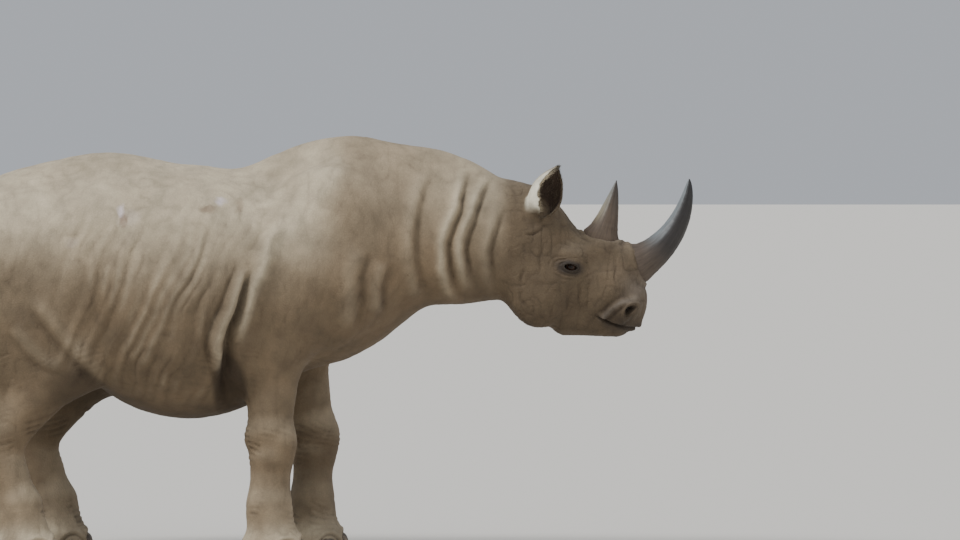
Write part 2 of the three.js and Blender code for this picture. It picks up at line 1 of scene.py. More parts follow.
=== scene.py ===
import json
import math
import bpy
import numpy as np
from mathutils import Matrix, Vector

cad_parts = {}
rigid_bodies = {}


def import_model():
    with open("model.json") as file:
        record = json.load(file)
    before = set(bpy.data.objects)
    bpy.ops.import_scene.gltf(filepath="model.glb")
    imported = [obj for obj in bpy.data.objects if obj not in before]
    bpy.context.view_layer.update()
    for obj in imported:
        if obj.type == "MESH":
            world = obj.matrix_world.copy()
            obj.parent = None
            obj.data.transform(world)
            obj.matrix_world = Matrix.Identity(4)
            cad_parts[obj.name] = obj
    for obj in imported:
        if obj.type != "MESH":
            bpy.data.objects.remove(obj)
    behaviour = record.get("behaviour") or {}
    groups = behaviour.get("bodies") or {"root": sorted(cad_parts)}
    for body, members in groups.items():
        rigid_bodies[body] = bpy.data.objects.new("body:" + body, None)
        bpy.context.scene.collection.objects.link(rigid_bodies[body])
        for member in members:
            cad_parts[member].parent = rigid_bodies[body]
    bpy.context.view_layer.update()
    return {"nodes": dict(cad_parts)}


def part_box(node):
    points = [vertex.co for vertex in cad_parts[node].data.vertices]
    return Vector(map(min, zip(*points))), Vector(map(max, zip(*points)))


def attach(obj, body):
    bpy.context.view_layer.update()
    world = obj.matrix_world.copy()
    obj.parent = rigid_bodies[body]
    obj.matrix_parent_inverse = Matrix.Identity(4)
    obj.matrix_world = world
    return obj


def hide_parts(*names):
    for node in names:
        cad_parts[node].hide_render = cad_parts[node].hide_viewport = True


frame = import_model()
humpX = 0.203  # metres: lengths along the body are counted from the top of the hump
rng = np.random.default_rng(7)


# small helpers

def only(*pieces):
    bpy.ops.object.select_all(action="DESELECT")
    for piece in pieces:
        piece.select_set(True)
    bpy.context.view_layer.objects.active = pieces[0]


def newPiece(name):
    piece = bpy.context.object
    piece.name = piece.data.name = name
    return piece


def getPoints(piece):
    flat = np.empty(len(piece.data.vertices) * 3, np.float32)
    piece.data.vertices.foreach_get("co", flat)
    return flat.reshape(-1, 3)


def setPoints(piece, points):
    piece.data.vertices.foreach_set("co", np.ascontiguousarray(points, np.float32).ravel())
    piece.data.update()


def getNormals(piece):
    flat = np.empty(len(piece.data.vertices) * 3, np.float32)
    piece.data.vertex_normals.foreach_get("vector", flat)
    return flat.reshape(-1, 3)


def getEdges(piece):
    flat = np.empty(len(piece.data.edges) * 2, np.int32)
    piece.data.edges.foreach_get("vertices", flat)
    return flat.reshape(-1, 2)


def toBody(points):  # metres in the frame to millimetres from the hump
    return (points - np.array((humpX, 0, 0), np.float32)) * 1000


def toFrame(points):
    return points / 1000 + np.array((humpX, 0, 0))


def relaxed(points, edges, share, rounds=1):  # each point moves towards the mean of its neighbours
    count = np.maximum(np.bincount(edges.ravel(), minlength=len(points)), 1)
    for _ in range(rounds):
        total = np.stack([
            np.bincount(edges[:, 0], points[edges[:, 1], axis], len(points))
            + np.bincount(edges[:, 1], points[edges[:, 0], axis], len(points))
            for axis in range(3)], 1)
        points = points + share * (total / count[:, None] - points)
    return points


def rise(value, low, high):  # 0 below low, 1 above high, smooth between
    t = np.clip((value - low) / (high - low), 0, 1)
    return t * t * (3 - 2 * t)


def bell(value, width):
    return np.exp(-(value / width) ** 2)


def onLeft(points):  # the right half mirrored to the left
    return points * (1, 0, 1) + np.abs(points) * (0, 1, 0)


scatter = dict(cell=(73856093, 19349663, 83492791), seed=2654435, mixer=1274126177)


def lumps(points, size, seed):  # smooth random relief from -1 to 1 with bumps of that size
    q = points / size + seed * 17.31
    cell = np.floor(q).astype(np.int64)
    part = q - cell
    part = part * part * (3 - 2 * part)
    total = np.zeros(len(points))
    for corner in range(8):
        step = np.array((corner & 1, corner >> 1 & 1, corner >> 2))
        n = (cell + step) @ np.array(scatter["cell"]) + seed * scatter["seed"]
        n = (n ^ (n >> 13)) * scatter["mixer"] & 0x7FFFFFFF
        value = ((n ^ (n >> 15)) & 0xFFFF) / 32767.5 - 1
        total += value * np.prod(np.where(step, part, 1 - part), 1)
    return total


def veins(points, size, seed, sharp=6):  # a net of thin lines, 1 on a line and 0 between
    return (1 - np.abs(lumps(points, size, seed))) ** sharp


def sideView(p, x, z, degrees):  # seen from the side: distance along a direction and across it
    turn = math.radians(degrees)
    dx, dz = p[:, 0] - x, p[:, 2] - z
    return dx * math.cos(turn) + dz * math.sin(turn), dz * math.cos(turn) - dx * math.sin(turn)


def linked(name, data):
    made = bpy.data.objects.new(name, data)
    bpy.context.collection.objects.link(made)
    return made


def modifier(piece, kind, name, **settings):
    made = piece.modifiers.new(name, kind)
    for key, value in settings.items():
        setattr(made, key, value)
    only(piece)
    bpy.ops.object.modifier_apply(modifier=made.name)


def taperedRod(name, centres, radii, roundness):  # a curve with a radius at each point, made a mesh
    curve = bpy.data.curves.new(name, "CURVE")
    curve.dimensions = "3D"
    curve.bevel_depth, curve.bevel_resolution, curve.use_fill_caps = 1, roundness, True
    spline = curve.splines.new("POLY")
    spline.points.add(len(centres) - 1)
    for point, place, radius in zip(spline.points, centres, radii):
        point.co, point.radius = (*place, 1), radius
    only(linked(name, curve))
    bpy.ops.object.convert(target="MESH")
    return bpy.context.object


# the body's shapes, in millimetres from the hump

feet = {
    "fore right": (-270, -205), "fore left": (-120, 205),
    "hind right": (-1200, -215), "hind left": (-1095, 215),
}
footSize = dict(length=122, width=108, height=72, centre=26)


def ball(x, y, z, rx, ry, rz, fillet, pair=False):
    return dict(kind="ball", centre=(x, y, z), radii=(rx, ry, rz), fillet=fillet, pair=pair)


def bar(a, ra, b, rb, fillet, flat=1):
    return dict(kind="bar", a=a, ra=ra, b=b, rb=rb, fillet=fillet, flat=flat, pair=False)


def ankleAndFoot(x, y):
    return [
        bar((x - 8, y, 190), 78, (x + 2, y, 70), 101, 40),
        ball(x, y, footSize["centre"], footSize["length"], footSize["width"],
             footSize["height"], 40),
    ]


def foreLeg(x, y):
    side = 1 if y > 0 else -1
    elbow = x * 0.55 - 140
    return [
        bar((-150, side * 205, 1060), 160, (elbow, side * 215, 815), 108, 110, 0.8),
        bar((elbow + 28, side * 208, 770), 108, (x - 6, y, 480), 82, 60, 0.92),
        bar((x, y, 462), 86, (x + 2, y, 395), 83, 30),  # wrist
        ball(x + 36, y, 430, 60, 72, 62, 30),
        ball(x - 54, y, 446, 42, 50, 46, 34),
        bar((x - 2, y, 350), 76, (x - 8, y, 190), 78, 34),
        *ankleAndFoot(x, y),
    ]


def hindLeg(x, y):
    side = 1 if y > 0 else -1
    stifle, hock = (x + 190, side * 225, 760), (x - 92, y, 440)
    return [
        bar((-1230, side * 190, 1070), 215, stifle, 125, 120, 0.75),  # thigh
        bar((x - 50, side * 205, 880), 165, (x - 84, y, 500), 74, 90, 0.8),
        bar(stifle, 108, (x - 40, y, 500), 86, 70, 0.85),
        ball(x - 140, y, 490, 46, 44, 62, 44),  # point of the hock
        bar(hock, 77, (x - 22, y, 190), 77, 40, 0.95),
        *ankleAndFoot(x, y),
    ]


bodyShapes = [
    ball(-590, 0, 985, 500, 452, 472, 40),  # belly
    ball(-640, 0, 1080, 690, 385, 362, 90),  # ribs and back
    ball(-140, 0, 1062, 400, 315, 350, 120),  # chest
    ball(-15, 0, 1330, 372, 120, 232, 120),  # hump
    ball(285, 0, 1290, 300, 105, 233, 60),  # crest of the neck
    ball(-75, 212, 1130, 235, 112, 320, 80, True),  # shoulder blades
    ball(-215, 250, 945, 150, 78, 170, 70, True),
    ball(-1020, 0, 1115, 560, 345, 372, 120),  # rump
    ball(-905, 225, 1250, 120, 90, 130, 90, True),  # hip bones
    ball(-1120, 232, 920, 250, 120, 260, 90, True),
    ball(-900, 0, 1325, 270, 165, 178, 90),
    ball(-1330, 165, 1030, 270, 165, 300, 100, True),
    bar((-1330, 0, 1240), 95, (-1500, 0, 1250), 52, 70),
    bar((-1500, 0, 1250), 52, (-1590, 0, 1165), 44, 25),
    bar((60, 0, 1215), 300, (420, 0, 1195), 232, 140, 0.82),  # neck
    bar((420, 0, 1195), 232, (640, 0, 1180), 212, 60, 0.84),
    bar((645, 0, 1235), 165, (815, 0, 1085), 140, 50, 0.9),  # skull
    ball(732, 76, 1008, 122, 88, 146, 60, True),  # jaw
    bar((800, 0, 1035), 165, (965, 0, 1000), 155, 60, 0.68),
    ball(800, 98, 1050, 110, 50, 46, 40, True),
    ball(846, 94, 1118, 62, 50, 46, 34, True),  # brow
    ball(962, 0, 1150, 92, 82, 62, 50),  # under the rear horn
    ball(1066, 0, 1085, 70, 88, 92, 40),  # under the front horn
    bar((990, 0, 985), 138, (1030, 0, 955), 112, 40, 0.82),
    ball(1062, 76, 934, 52, 42, 44, 26, True),
    ball(1070, 0, 910, 55, 70, 50, 20),  # upper lip and its point
    ball(1092, 0, 882, 28, 32, 33, 20),
    bar((845, 0, 905), 80, (1024, 0, 866), 44, 22, 1.2),  # chin
    ball(702, 94, 1266, 48, 40, 46, 36, True),
]
for legName, (legX, legY) in feet.items():
    bodyShapes += (foreLeg if "fore" in legName else hindLeg)(legX, legY)

nail = dict(thick=22, wide=51, high=52, sunk=12, up=18, spread=60, small=0.88, reach=130,
            wrap=340, splay=3.5)


def nailSpots():  # leg, toe, centre, direction and share of the full size of all twelve
    for leg, (x, y) in feet.items():
        for toe in (-1, 0, 1):
            turn = math.radians(toe * nail["spread"])
            centre = (x + math.cos(turn) * (footSize["length"] - nail["sunk"]),
                      y + math.sin(turn) * (footSize["width"] - nail["sunk"]), nail["up"])
            yield leg, toe, np.array(centre), turn, nail["small"] if toe else 1


tail = dict(
    line=((-1516, 1238), (-1556, 1198), (-1625, 1105), (-1668, 980), (-1680, 840),
          (-1674, 700), (-1664, 610)),
    rootRadius=50, midRadius=24, endRadius=13, stations=26,
)


def tailAt(u):  # centre of the tail, 0 inside the rump and 1 at the tip of its core
    line = np.array(tail["line"], float)
    line = np.vstack((2 * line[0] - line[1], line, 2 * line[-1] - line[-2]))
    t = np.clip(np.atleast_1d(u), 0, 1) * (len(tail["line"]) - 1)
    k = np.minimum(t.astype(int), len(tail["line"]) - 2)
    f = (t - k)[:, None]
    a, b, c, d = (line[k + n] for n in range(4))
    xz = 0.5 * (2 * b + (c - a) * f + (2 * a - 5 * b + 4 * c - d) * f ** 2
                + (3 * b - a - 3 * c + d) * f ** 3)
    return np.stack((xz[:, 0], np.zeros(len(xz)), xz[:, 1]), 1)


def tailRadius(u):
    return (tail["endRadius"] + (tail["midRadius"] - tail["endRadius"]) * (1 - u)
            + (tail["rootRadius"] - tail["midRadius"]) * (1 - u) ** 3)


tailSteps = np.linspace(0.06, 1, tail["stations"])
tailPoints = tailAt(tailSteps)
for n in range(tail["stations"] - 1):
    bodyShapes.append(bar(tuple(tailPoints[n]), tailRadius(tailSteps[n]), tuple(tailPoints[n + 1]),
                          tailRadius(tailSteps[n + 1]), 22 if n == 0 else 5, 0.9))

ear = dict(
    length=222, base=(706, 106, 1276), wall=10, root=34, fillet=16,
    lean=(0.42, 0.2, 0.885), opens=(0.62, 0.78, -0.1),
    stalk=34, spread=66, widest=0.52, taper=2.1,  # radii, and where it starts to narrow
    footHalf=162, topHalf=94,  # half the angle of the wall, in degrees
    offBase=0.35, bend=10, rearmost=600, lowest=1200, free=1290,
)
earAlong = np.array(ear["lean"]) / np.linalg.norm(ear["lean"])
earOpening = np.array(ear["opens"])
earOpening -= earAlong * (earOpening @ earAlong)
earOpening /= np.linalg.norm(earOpening)
earAcross = np.cross(earAlong, -earOpening)


def earShape(u):  # radius of the cup, half its angle, and how far it stands off its base line
    wide = ear["stalk"] + (ear["spread"] - ear["stalk"]) * rise(u, -0.05, 0.56)
    toTip = np.clip(u - ear["widest"], 0, 1) / (1 - ear["widest"])
    radius = np.where(u > ear["widest"], np.maximum(5, wide * (1 - toTip ** ear["taper"])), wide)
    half = np.radians(ear["footHalf"] - (ear["footHalf"] - ear["topHalf"]) * rise(u, 0.2, 0.7))
    return radius, half, radius * ear["offBase"] + ear["bend"] * u * u


def earDistance(p):
    q = onLeft(p) - np.array(ear["base"])
    along = q @ earAlong
    u = np.clip((along + ear["root"]) / (ear["length"] + ear["root"]), 0, 1)
    radius, half, off = earShape(u)
    wall = np.minimum(ear["wall"], radius * 0.5)
    a = -(q @ earOpening) + off
    b = q @ earAcross
    middle = radius - wall / 2
    onArc = np.abs(np.arctan2(b, a)) <= half
    toRim = np.hypot(a - np.cos(half) * middle, np.abs(b) - np.sin(half) * middle)
    near = np.where(onArc, np.abs(np.hypot(a, b) - middle), toRim)
    over = np.maximum(0, np.maximum(along - ear["length"], -ear["root"] - along))
    return np.hypot(near, over) - wall / 2


def shapeDistance(shape, p):
    if shape["kind"] == "ball":
        q = onLeft(p) if shape["pair"] else p
        a = (q - shape["centre"]) / shape["radii"]
        near = np.sqrt((a * a).sum(1))
        steep = np.sqrt(((a / shape["radii"]) ** 2).sum(1))
        return near * (near - 1) / np.maximum(steep, 1e-9)
    a, b, flat = np.array(shape["a"], float), np.array(shape["b"], float), shape["flat"]
    middleY = (a[1] + b[1]) / 2
    q = p - a
    q[:, 1] = middleY + (p[:, 1] - middleY) / flat - a[1]
    u = np.clip(q @ (b - a) / ((b - a) @ (b - a)), 0, 1)
    away = q - u[:, None] * (b - a)
    return (np.sqrt((away * away).sum(1)) - shape["ra"] - u * (shape["rb"] - shape["ra"])) * flat


room = dict(fillets=1.6, spare=30, flattened=60)  # left round each shape


def shapeReach(shape):  # corners of the box that a shape can touch
    if shape["kind"] == "ball":
        centre, radii = np.array(shape["centre"]), np.array(shape["radii"])
        low, high = centre - radii, centre + radii
    else:
        low = np.minimum(np.array(shape["a"]) - shape["ra"], np.array(shape["b"]) - shape["rb"])
        high = np.maximum(np.array(shape["a"]) + shape["ra"], np.array(shape["b"]) + shape["rb"])
        low[1] -= room["flattened"]
        high[1] += room["flattened"]
    spare = shape["fillet"] * room["fillets"] + room["spare"]
    return low - spare, high + spare


def joinAt(total, near, value, fillet):  # a smooth union with what is there
    before = total[near]
    h = np.maximum(fillet - np.abs(before - value), 0) / fillet
    total[near] = np.minimum(before, value) - h * h * fillet / 4


def bodyDistance(p):  # from the skin, negative inside; good near the skin
    total = np.full(len(p), 1e4)
    for shape in bodyShapes:
        low, high = shapeReach(shape)
        q = onLeft(p) if shape["pair"] else p
        near = np.flatnonzero(((q > low) & (q < high)).all(1))
        if not len(near):
            continue
        joinAt(total, near, shapeDistance(shape, p[near]), shape["fillet"])
    near = np.flatnonzero((p[:, 0] > ear["rearmost"]) & (p[:, 2] > ear["lowest"]))
    if len(near):
        joinAt(total, near, earDistance(p[near]), ear["fillet"])
    return total


def settled(p, steps):  # points moved along the slope until they lie on the skin
    for _ in range(steps):
        value = bodyDistance(p)
        slope = np.stack([bodyDistance(p + step) - value for step in np.eye(3)], 1)
        move = np.clip(value / np.maximum((slope * slope).sum(1), 0.2), -12, 12)
        p = p - slope * move[:, None]
        p[:, 2] = np.maximum(p[:, 2], 0)
    return p


# the skin: copies of the body's parts made into one mesh, then settled on its shapes

skin = dict(
    parts=("torso", "neck", "head", "ear_right", "ear_left", "leg_front_right", "leg_front_left",
           "leg_hind_right", "leg_hind_left"),
    plugs=("eye_right", "eye_left"), voxel=0.0072, faces=196000,
    weld=0.00002, closeCut=0.0006, closeEar=0.0018,  # in metres
    headFrom=590, feetUnder=112, headBlend=30, feetBlend=18,  # finer there, in millimetres
)

copies = []
for name in skin["parts"] + skin["plugs"]:
    copy = frame["nodes"][name].copy()
    copy.data = copy.data.copy()
    copy.name = "copy_" + name
    bpy.context.collection.objects.link(copy)
    only(copy)
    bpy.ops.object.parent_clear(type="CLEAR_KEEP_TRANSFORM")
    bpy.ops.object.mode_set(mode="EDIT")
    bpy.ops.mesh.select_all(action="SELECT")
    bpy.ops.mesh.remove_doubles(threshold=skin["weld"])
    bpy.ops.object.mode_set(mode="OBJECT")
    modifier(copy, "DISPLACE", "close the cuts", mid_level=0,
             strength=skin["closeEar" if "ear" in name else "closeCut"])
    copies.append(copy)

copies.append(taperedRod("tail core", toFrame(tailPoints), tailRadius(tailSteps) / 1000, 5))

only(*copies)
bpy.ops.object.join()
hide = newPiece("hide")
modifier(hide, "REMESH", "one skin", mode="VOXEL", voxel_size=skin["voxel"])
print("skin joined", len(hide.data.vertices))

p, edges = toBody(getPoints(hide)).astype(float), getEdges(hide)
p = settled(relaxed(p, edges, 0.5, 2), 3)
for _ in range(3):
    p = settled(relaxed(p, edges, 0.5), 1)
setPoints(hide, toFrame(settled(p, 2)))


def faceCentres(piece):
    flat = np.empty(len(piece.data.polygons) * 3, np.float32)
    piece.data.polygons.foreach_get("center", flat)
    return toBody(flat.reshape(-1, 3))


def refine(piece, wanted):  # cuts each wanted face into four
    only(piece)
    bpy.context.tool_settings.mesh_select_mode = (False, False, True)
    piece.data.polygons.foreach_set("select", wanted)
    bpy.ops.object.mode_set(mode="EDIT")
    bpy.ops.mesh.subdivide(number_cuts=1)
    bpy.ops.object.mode_set(mode="OBJECT")


headSpan = (560, 640)  # where the skin of the neck gives way to that of the head
eye = dict(x=853, y=80, z=1089, radius=21, long=23, high=12.5, upper=0.86, lower=1.1, tilt=-9,
           deep=24, around=72)
nostril = dict(x=1077, y=28, z=926, long=31, high=14, deep=32, tilt=42, around=52)
mouth = dict(centreX=965, frontZ=852, cornerZ=903, cornerAngle=100, deep=12, around=20, fineX=935)


def mouthLine(p):  # share of the way to the corner, and height over the line of the mouth
    turn = np.degrees(np.arctan2(p[:, 1], p[:, 0] - mouth["centreX"]))
    share = np.abs(turn) / mouth["cornerAngle"]
    line = mouth["frontZ"] + (mouth["cornerZ"] - mouth["frontZ"]) * np.minimum(share, 1.2) ** 1.6
    return share, p[:, 2] - line


def nearFace(c):  # the parts of the head with the finest forms: eyes, nostrils, lips
    toEye = np.hypot(c[:, 0] - eye["x"], c[:, 2] - eye["z"])
    toNose = np.hypot(c[:, 0] - nostril["x"], c[:, 2] - nostril["z"])
    _, toLine = mouthLine(c)
    return (((toEye < eye["around"]) & (np.abs(c[:, 1]) > eye["y"])) | (toNose < nostril["around"])
            | ((np.abs(toLine) < mouth["around"]) & (c[:, 0] > mouth["fineX"])))


centres = faceCentres(hide)
refine(hide, (centres[:, 0] > skin["headFrom"]) | (centres[:, 2] < skin["feetUnder"]))
refine(hide, nearFace(faceCentres(hide)))
p, edges = toBody(getPoints(hide)).astype(float), getEdges(hide)
finer = ((p[:, 0] > skin["headFrom"] - skin["headBlend"])
         | (p[:, 2] < skin["feetUnder"] + skin["feetBlend"]))
for _ in range(2):
    p[finer] = relaxed(p, edges, 0.5)[finer]
    p[finer] = settled(p[finer], 2)
setPoints(hide, toFrame(p))
print("skin settled", len(p))


# relief of the skin, all in millimetres outwards

def lineDistance(p, line):  # seen from the side: distance (+ ahead of the line) and share along it
    best, ahead, share = np.full(len(p), 1e6), np.zeros(len(p)), np.zeros(len(p))
    line = np.array(line, float)
    lengths = np.hypot(*np.diff(line, axis=0).T)
    for n in range(len(line) - 1):
        d = line[n + 1] - line[n]
        qx, qz = p[:, 0] - line[n, 0], p[:, 2] - line[n, 1]
        t = np.clip((qx * d[0] + qz * d[1]) / (d @ d), 0, 1)
        away = np.hypot(qx - t * d[0], qz - t * d[1])
        closer = away < best
        best[closer] = away[closer]
        ahead[closer] = np.sign(d[0] * qz - d[1] * qx)[closer]
        share[closer] = ((lengths[:n].sum() + t * lengths[n]) / lengths.sum())[closer]
    return best * ahead, share


# each fold: its line from the top down, height and width of its roll, and the crease ahead of it
# (shift > 0) or behind it (shift < 0)
# a fold's wear setting makes its crest paler: rubbed wear and a painted highlight
folds = (
    dict(line=((470, 1495), (449, 1440), (412, 1340), (384, 1262), (366, 1180), (366, 1090),
               (386, 1010), (430, 940)), roll=22, wide=23, crease=15, shift=31, wornAndHighlight=1.0, ends=0.3),
    dict(line=((552, 1460), (526, 1410), (480, 1318), (446, 1238), (432, 1150), (444, 1060),
               (480, 980)), roll=20, wide=22, crease=14, shift=30, wornAndHighlight=0.9, ends=0.3),
    dict(line=((596, 1350), (556, 1250), (524, 1150), (528, 1060), (560, 980)),
         roll=13, wide=23, crease=10, shift=28, ends=0.34),
    dict(line=((300, 1470), (262, 1350), (236, 1240), (232, 1120), (262, 1010), (300, 940)),
         roll=11, wide=32, crease=10, shift=40),
    # rear edge of the shoulder, and the roll of skin behind the armpit
    dict(line=((-205, 1270), (-262, 1180), (-300, 1085), (-350, 975), (-381, 870), (-392, 790)),
         roll=26, wide=26, crease=0, shift=0, wornAndHighlight=1.0),
    dict(line=((-322, 1095), (-368, 990), (-408, 895), (-428, 810), (-432, 720), (-425, 610),
               (-420, 520)), roll=0, wide=22, crease=40, shift=0, open=1.6),
    dict(line=((-345, 1090), (-400, 985), (-448, 880), (-466, 800), (-458, 715), (-430, 650)),
         roll=26, wide=22, crease=10, shift=-36, wornAndHighlight=0.9),
    # pale streak up the edge of the shoulder blade: rubbed wear and a painted highlight
    dict(line=((-262, 1090), (-235, 1190), (-140, 1320), (-40, 1430), (20, 1500)),
         roll=5, wide=46, crease=4, shift=66, wornAndHighlight=0.8),
    # edge of the belly over the thigh
    dict(line=((-1150, 990), (-1098, 915), (-1018, 815), (-950, 742), (-880, 660)),
         roll=17, wide=38, crease=11, shift=-46, wornAndHighlight=0.2),
    dict(line=((-1230, 880), (-1160, 790), (-1110, 745), (-1030, 715)),
         roll=9, wide=32, crease=6, shift=-38),
    # rump beside the tail, and the back of the thigh
    dict(line=((-1478, 1215), (-1512, 1080), (-1500, 930), (-1450, 800)),
         roll=14, wide=32, crease=12, shift=44),
    dict(line=((-1330, 1130), (-1372, 960), (-1350, 800)), roll=11, wide=40, crease=9, shift=54),
    # front of the shoulder and the chest
    dict(line=((60, 1180), (22, 1060), (28, 940), (10, 840)), roll=13, wide=36, crease=10, shift=48),
    dict(line=((150, 1120), (120, 1010), (128, 900)), roll=11, wide=28, crease=10, shift=36),
)

ribs = dict(lean=0.44, wide=83, height=3.6, fine=49, depth=5)  # wide waves and fine wrinkles
ribsReach = dict(rear=(-1120, -960), front=(-520, -400), low=(540, 700), high=(1150, 1320))
wrinkleReach = dict(rear=(-1420, -1200), front=(120, 330), low=(480, 640), high=(1250, 1420))
armpit = dict(x=-425, y=420, z=645, wide=66, high=132, deep=26)
# painted shadow on the thigh behind the edge of the belly
groinShadow = dict(x=-975, z=640, wide=115, high=95, edgeX=-1018, edgeZ=815, slope=1.12)
rings = dict(apart=23, depth=3.2, foreTilt=0.25, hindTilt=-0.35, wrist=430, hock=470, ankle=150,
             elbow=760)
tendon = dict(behind=62, z=620, wide=24, high=85, deep=13)


def armpitAt(p):  # the hollow between the fore leg and the belly
    away = np.hypot((p[:, 0] - armpit["x"]) / armpit["wide"],
                    (p[:, 2] - armpit["z"]) / armpit["high"])
    return 1 - rise(away, 0.45, 1.15)


def within(p, reach):  # 1 inside a stretch of the side, falling to 0 round it
    return (rise(p[:, 0], *reach["rear"]) * (1 - rise(p[:, 0], *reach["front"]))
            * rise(p[:, 2], *reach["low"]) * (1 - rise(p[:, 2], *reach["high"])))


def bodyRelief(p, normal):
    # besides the relief it returns painted shade for the creases and hollows, and a mask of pale
    # crests, partly wear and partly a painted highlight
    out, crease, ridgeWearAndHighlight = np.zeros(len(p)), np.zeros(len(p)), np.zeros(len(p))
    flat = rise(np.abs(normal[:, 1]), 0.15, 0.55)  # folds fade where the skin turns away
    wander = lumps(p, 130, 3) * 12 + lumps(p, 52, 4) * 4
    q = p + np.stack((wander, wander * 0, -wander), 1)
    for fold in folds:
        ahead, share = lineDistance(q, fold["line"])
        ends = fold.get("ends", 0.18)
        fade = rise(share, 0, ends) * (1 - rise(share, 1 - ends, 1)) * flat
        out += fade * fold["roll"] * bell(ahead, fold["wide"])
        # pale crests: rubbed wear and a painted highlight
        ridgeWearAndHighlight += fade * fold.get("wornAndHighlight", 0.3) * bell(ahead, fold["wide"] * 0.75)
        narrow = fold["wide"] * 0.4 * (1 + fold.get("open", 0) * share)
        dip = fade * bell(ahead - fold["shift"], narrow)
        out -= fold["crease"] * dip
        crease += dip * min(1, fold["crease"] / 20)

    out -= armpit["deep"] * armpitAt(p) * flat

    # ribs, and the wrinkles that lean with them
    flank = within(p, ribsReach) * flat
    leaned = p[:, 0] - ribs["lean"] * (p[:, 2] - 900) + lumps(p, 170, 11) * 30
    out += flank * ribs["height"] * np.cos(2 * np.pi * leaned / ribs["wide"])
    phase = (leaned + lumps(p, 60, 12) * 9) / ribs["fine"]
    line = bell(phase - np.round(phase), 0.14) * (0.35 + 0.65 * rise(lumps(p, 110, 13), -0.3, 0.5))
    broad = within(p, wrinkleReach) * flat
    out -= ribs["depth"] * line * np.maximum(flank, 0.35 * broad)
    crease += 0.4 * line * np.maximum(flank, 0.3 * broad)
    # painted highlight on the crests of the ribs
    crest = bell(np.abs(phase - np.round(phase)) - 0.5, 0.2) * rise(lumps(p, 90, 14), -0.4, 0.4)
    ridgeWearAndHighlight += 0.4 * crest * flank

    # rings of wrinkles round the joints of the legs and over the feet
    for leg, (x, y) in feet.items():
        mine = (p[:, 2] < 900) & (np.sign(p[:, 1]) == np.sign(y)) & (np.abs(p[:, 0] - x) < 330)
        k = np.flatnonzero(mine)
        if not len(k):
            continue
        r = p[k]
        tilt, joint = ((rings["foreTilt"], rings["wrist"]) if "fore" in leg
                       else (rings["hindTilt"], rings["hock"]))
        level = r[:, 2] + tilt * (r[:, 0] - x) + lumps(r, 70, 21) * 9
        zone = (bell(r[:, 2] - joint, 80) + 0.9 * bell(r[:, 2] - rings["ankle"], 45)
                + 0.5 * bell(r[:, 2] - rings["elbow"], 110) + 0.15)
        phase = level / rings["apart"] + lumps(r, 110, 24) * 0.8
        ring = bell(phase - np.round(phase), 0.2) * rise(lumps(r, 58, 22), -0.25, 0.35)
        inner = 1 + 0.8 * rise(-normal[k, 0] * (1 if "fore" in leg else -1), 0, 0.8)
        ring = ring * zone * inner * rise(900 - r[:, 2], 0, 150) * rise(r[:, 2], 30, 110)
        out[k] -= rings["depth"] * ring
        crease[k] += 0.45 * ring
        if "hind" in leg:  # tendon behind the shin
            out[k] -= (tendon["deep"] * bell(r[:, 0] - (x - tendon["behind"]), tendon["wide"])
                       * bell(r[:, 2] - tendon["z"], tendon["high"]) * flat[k])

    # skin rolled round each nail, and a soft toe above it
    for _, _, centre, turn, size in nailSpots():
        k = np.flatnonzero(((p - centre) ** 2).sum(1) < nail["reach"] ** 2)
        q = p[k] - centre
        a = q[:, 0] * math.cos(turn) + q[:, 1] * math.sin(turn)
        b = q[:, 1] * math.cos(turn) - q[:, 0] * math.sin(turn)
        rim = np.hypot(b / (nail["wide"] * size), q[:, 2] / (nail["high"] * size))
        front = rise(a, -45, -10)
        out[k] += front * (5 * bell(rim - 1.32, 0.16) - 4 * bell(rim - 1.04, 0.09)
                           + 5 * bell(b, 42) * bell(q[:, 2] - 40, 40))
        crease[k] += front * 0.8 * bell(rim - 1.05, 0.1)

    # uneven forms and a net of fine wrinkles, coarser and upright on the body
    out += lumps(p, 190, 31) * 4 + lumps(p, 85, 32) * 1.9 + lumps(p, 38, 33) * 0.7
    body = 1 - rise(p[:, 0], *headSpan)
    net = veins(p * (1, 1, 0.45), 42, 34) * 1.9 + veins(p * (1, 1, 0.7), 21, 35, 5) * 1.0
    out -= net * (0.55 + 0.45 * lumps(p, 150, 36)) * (0.35 + 0.65 * body)
    crease += net * 0.2 * body
    return out, crease, ridgeWearAndHighlight


headLines = (  # wrinkles of the face: line, width, depth
    (((1042, 1168), (1022, 1110), (1020, 1050), (1038, 1000)), 7, 4.5),  # between the horns
    (((1004, 1130), (990, 1080), (992, 1020)), 8, 2.8),
    (((958, 1085), (950, 1030), (966, 975)), 9, 2.5),
    (((934, 1060), (915, 1000), (912, 940), (925, 905)), 8, 4),  # cheek, up from the corner
    (((902, 1040), (880, 975), (876, 915)), 9, 3.4),
    (((866, 1015), (842, 960), (836, 895)), 9, 3.2),
    (((790, 1010), (770, 940), (782, 880)), 10, 2.6),
    (((700, 1120), (668, 1050), (664, 970), (700, 905)), 14, 6),  # behind the jaw
    (((760, 1180), (735, 1120), (742, 1060)), 9, 3.2),
    (((884, 1172), (905, 1140), (938, 1118)), 8, 3.2),  # brow
    (((812, 1190), (850, 1168), (884, 1150)), 9, 3.2),
    (((1012, 905), (985, 888), (968, 872)), 7, 3.5),  # lip behind the nostril
    (((772, 1268), (748, 1232), (716, 1214), (676, 1218)), 9, 5),  # root of the ear
)
muzzleFold = ((1128, 985), (1096, 968), (1050, 958), (1012, 932), (978, 902), (948, 884))
hornSeats = (((1112, 1104), 24, 78), ((973, 1205), 70, 71))  # place, direction, radius


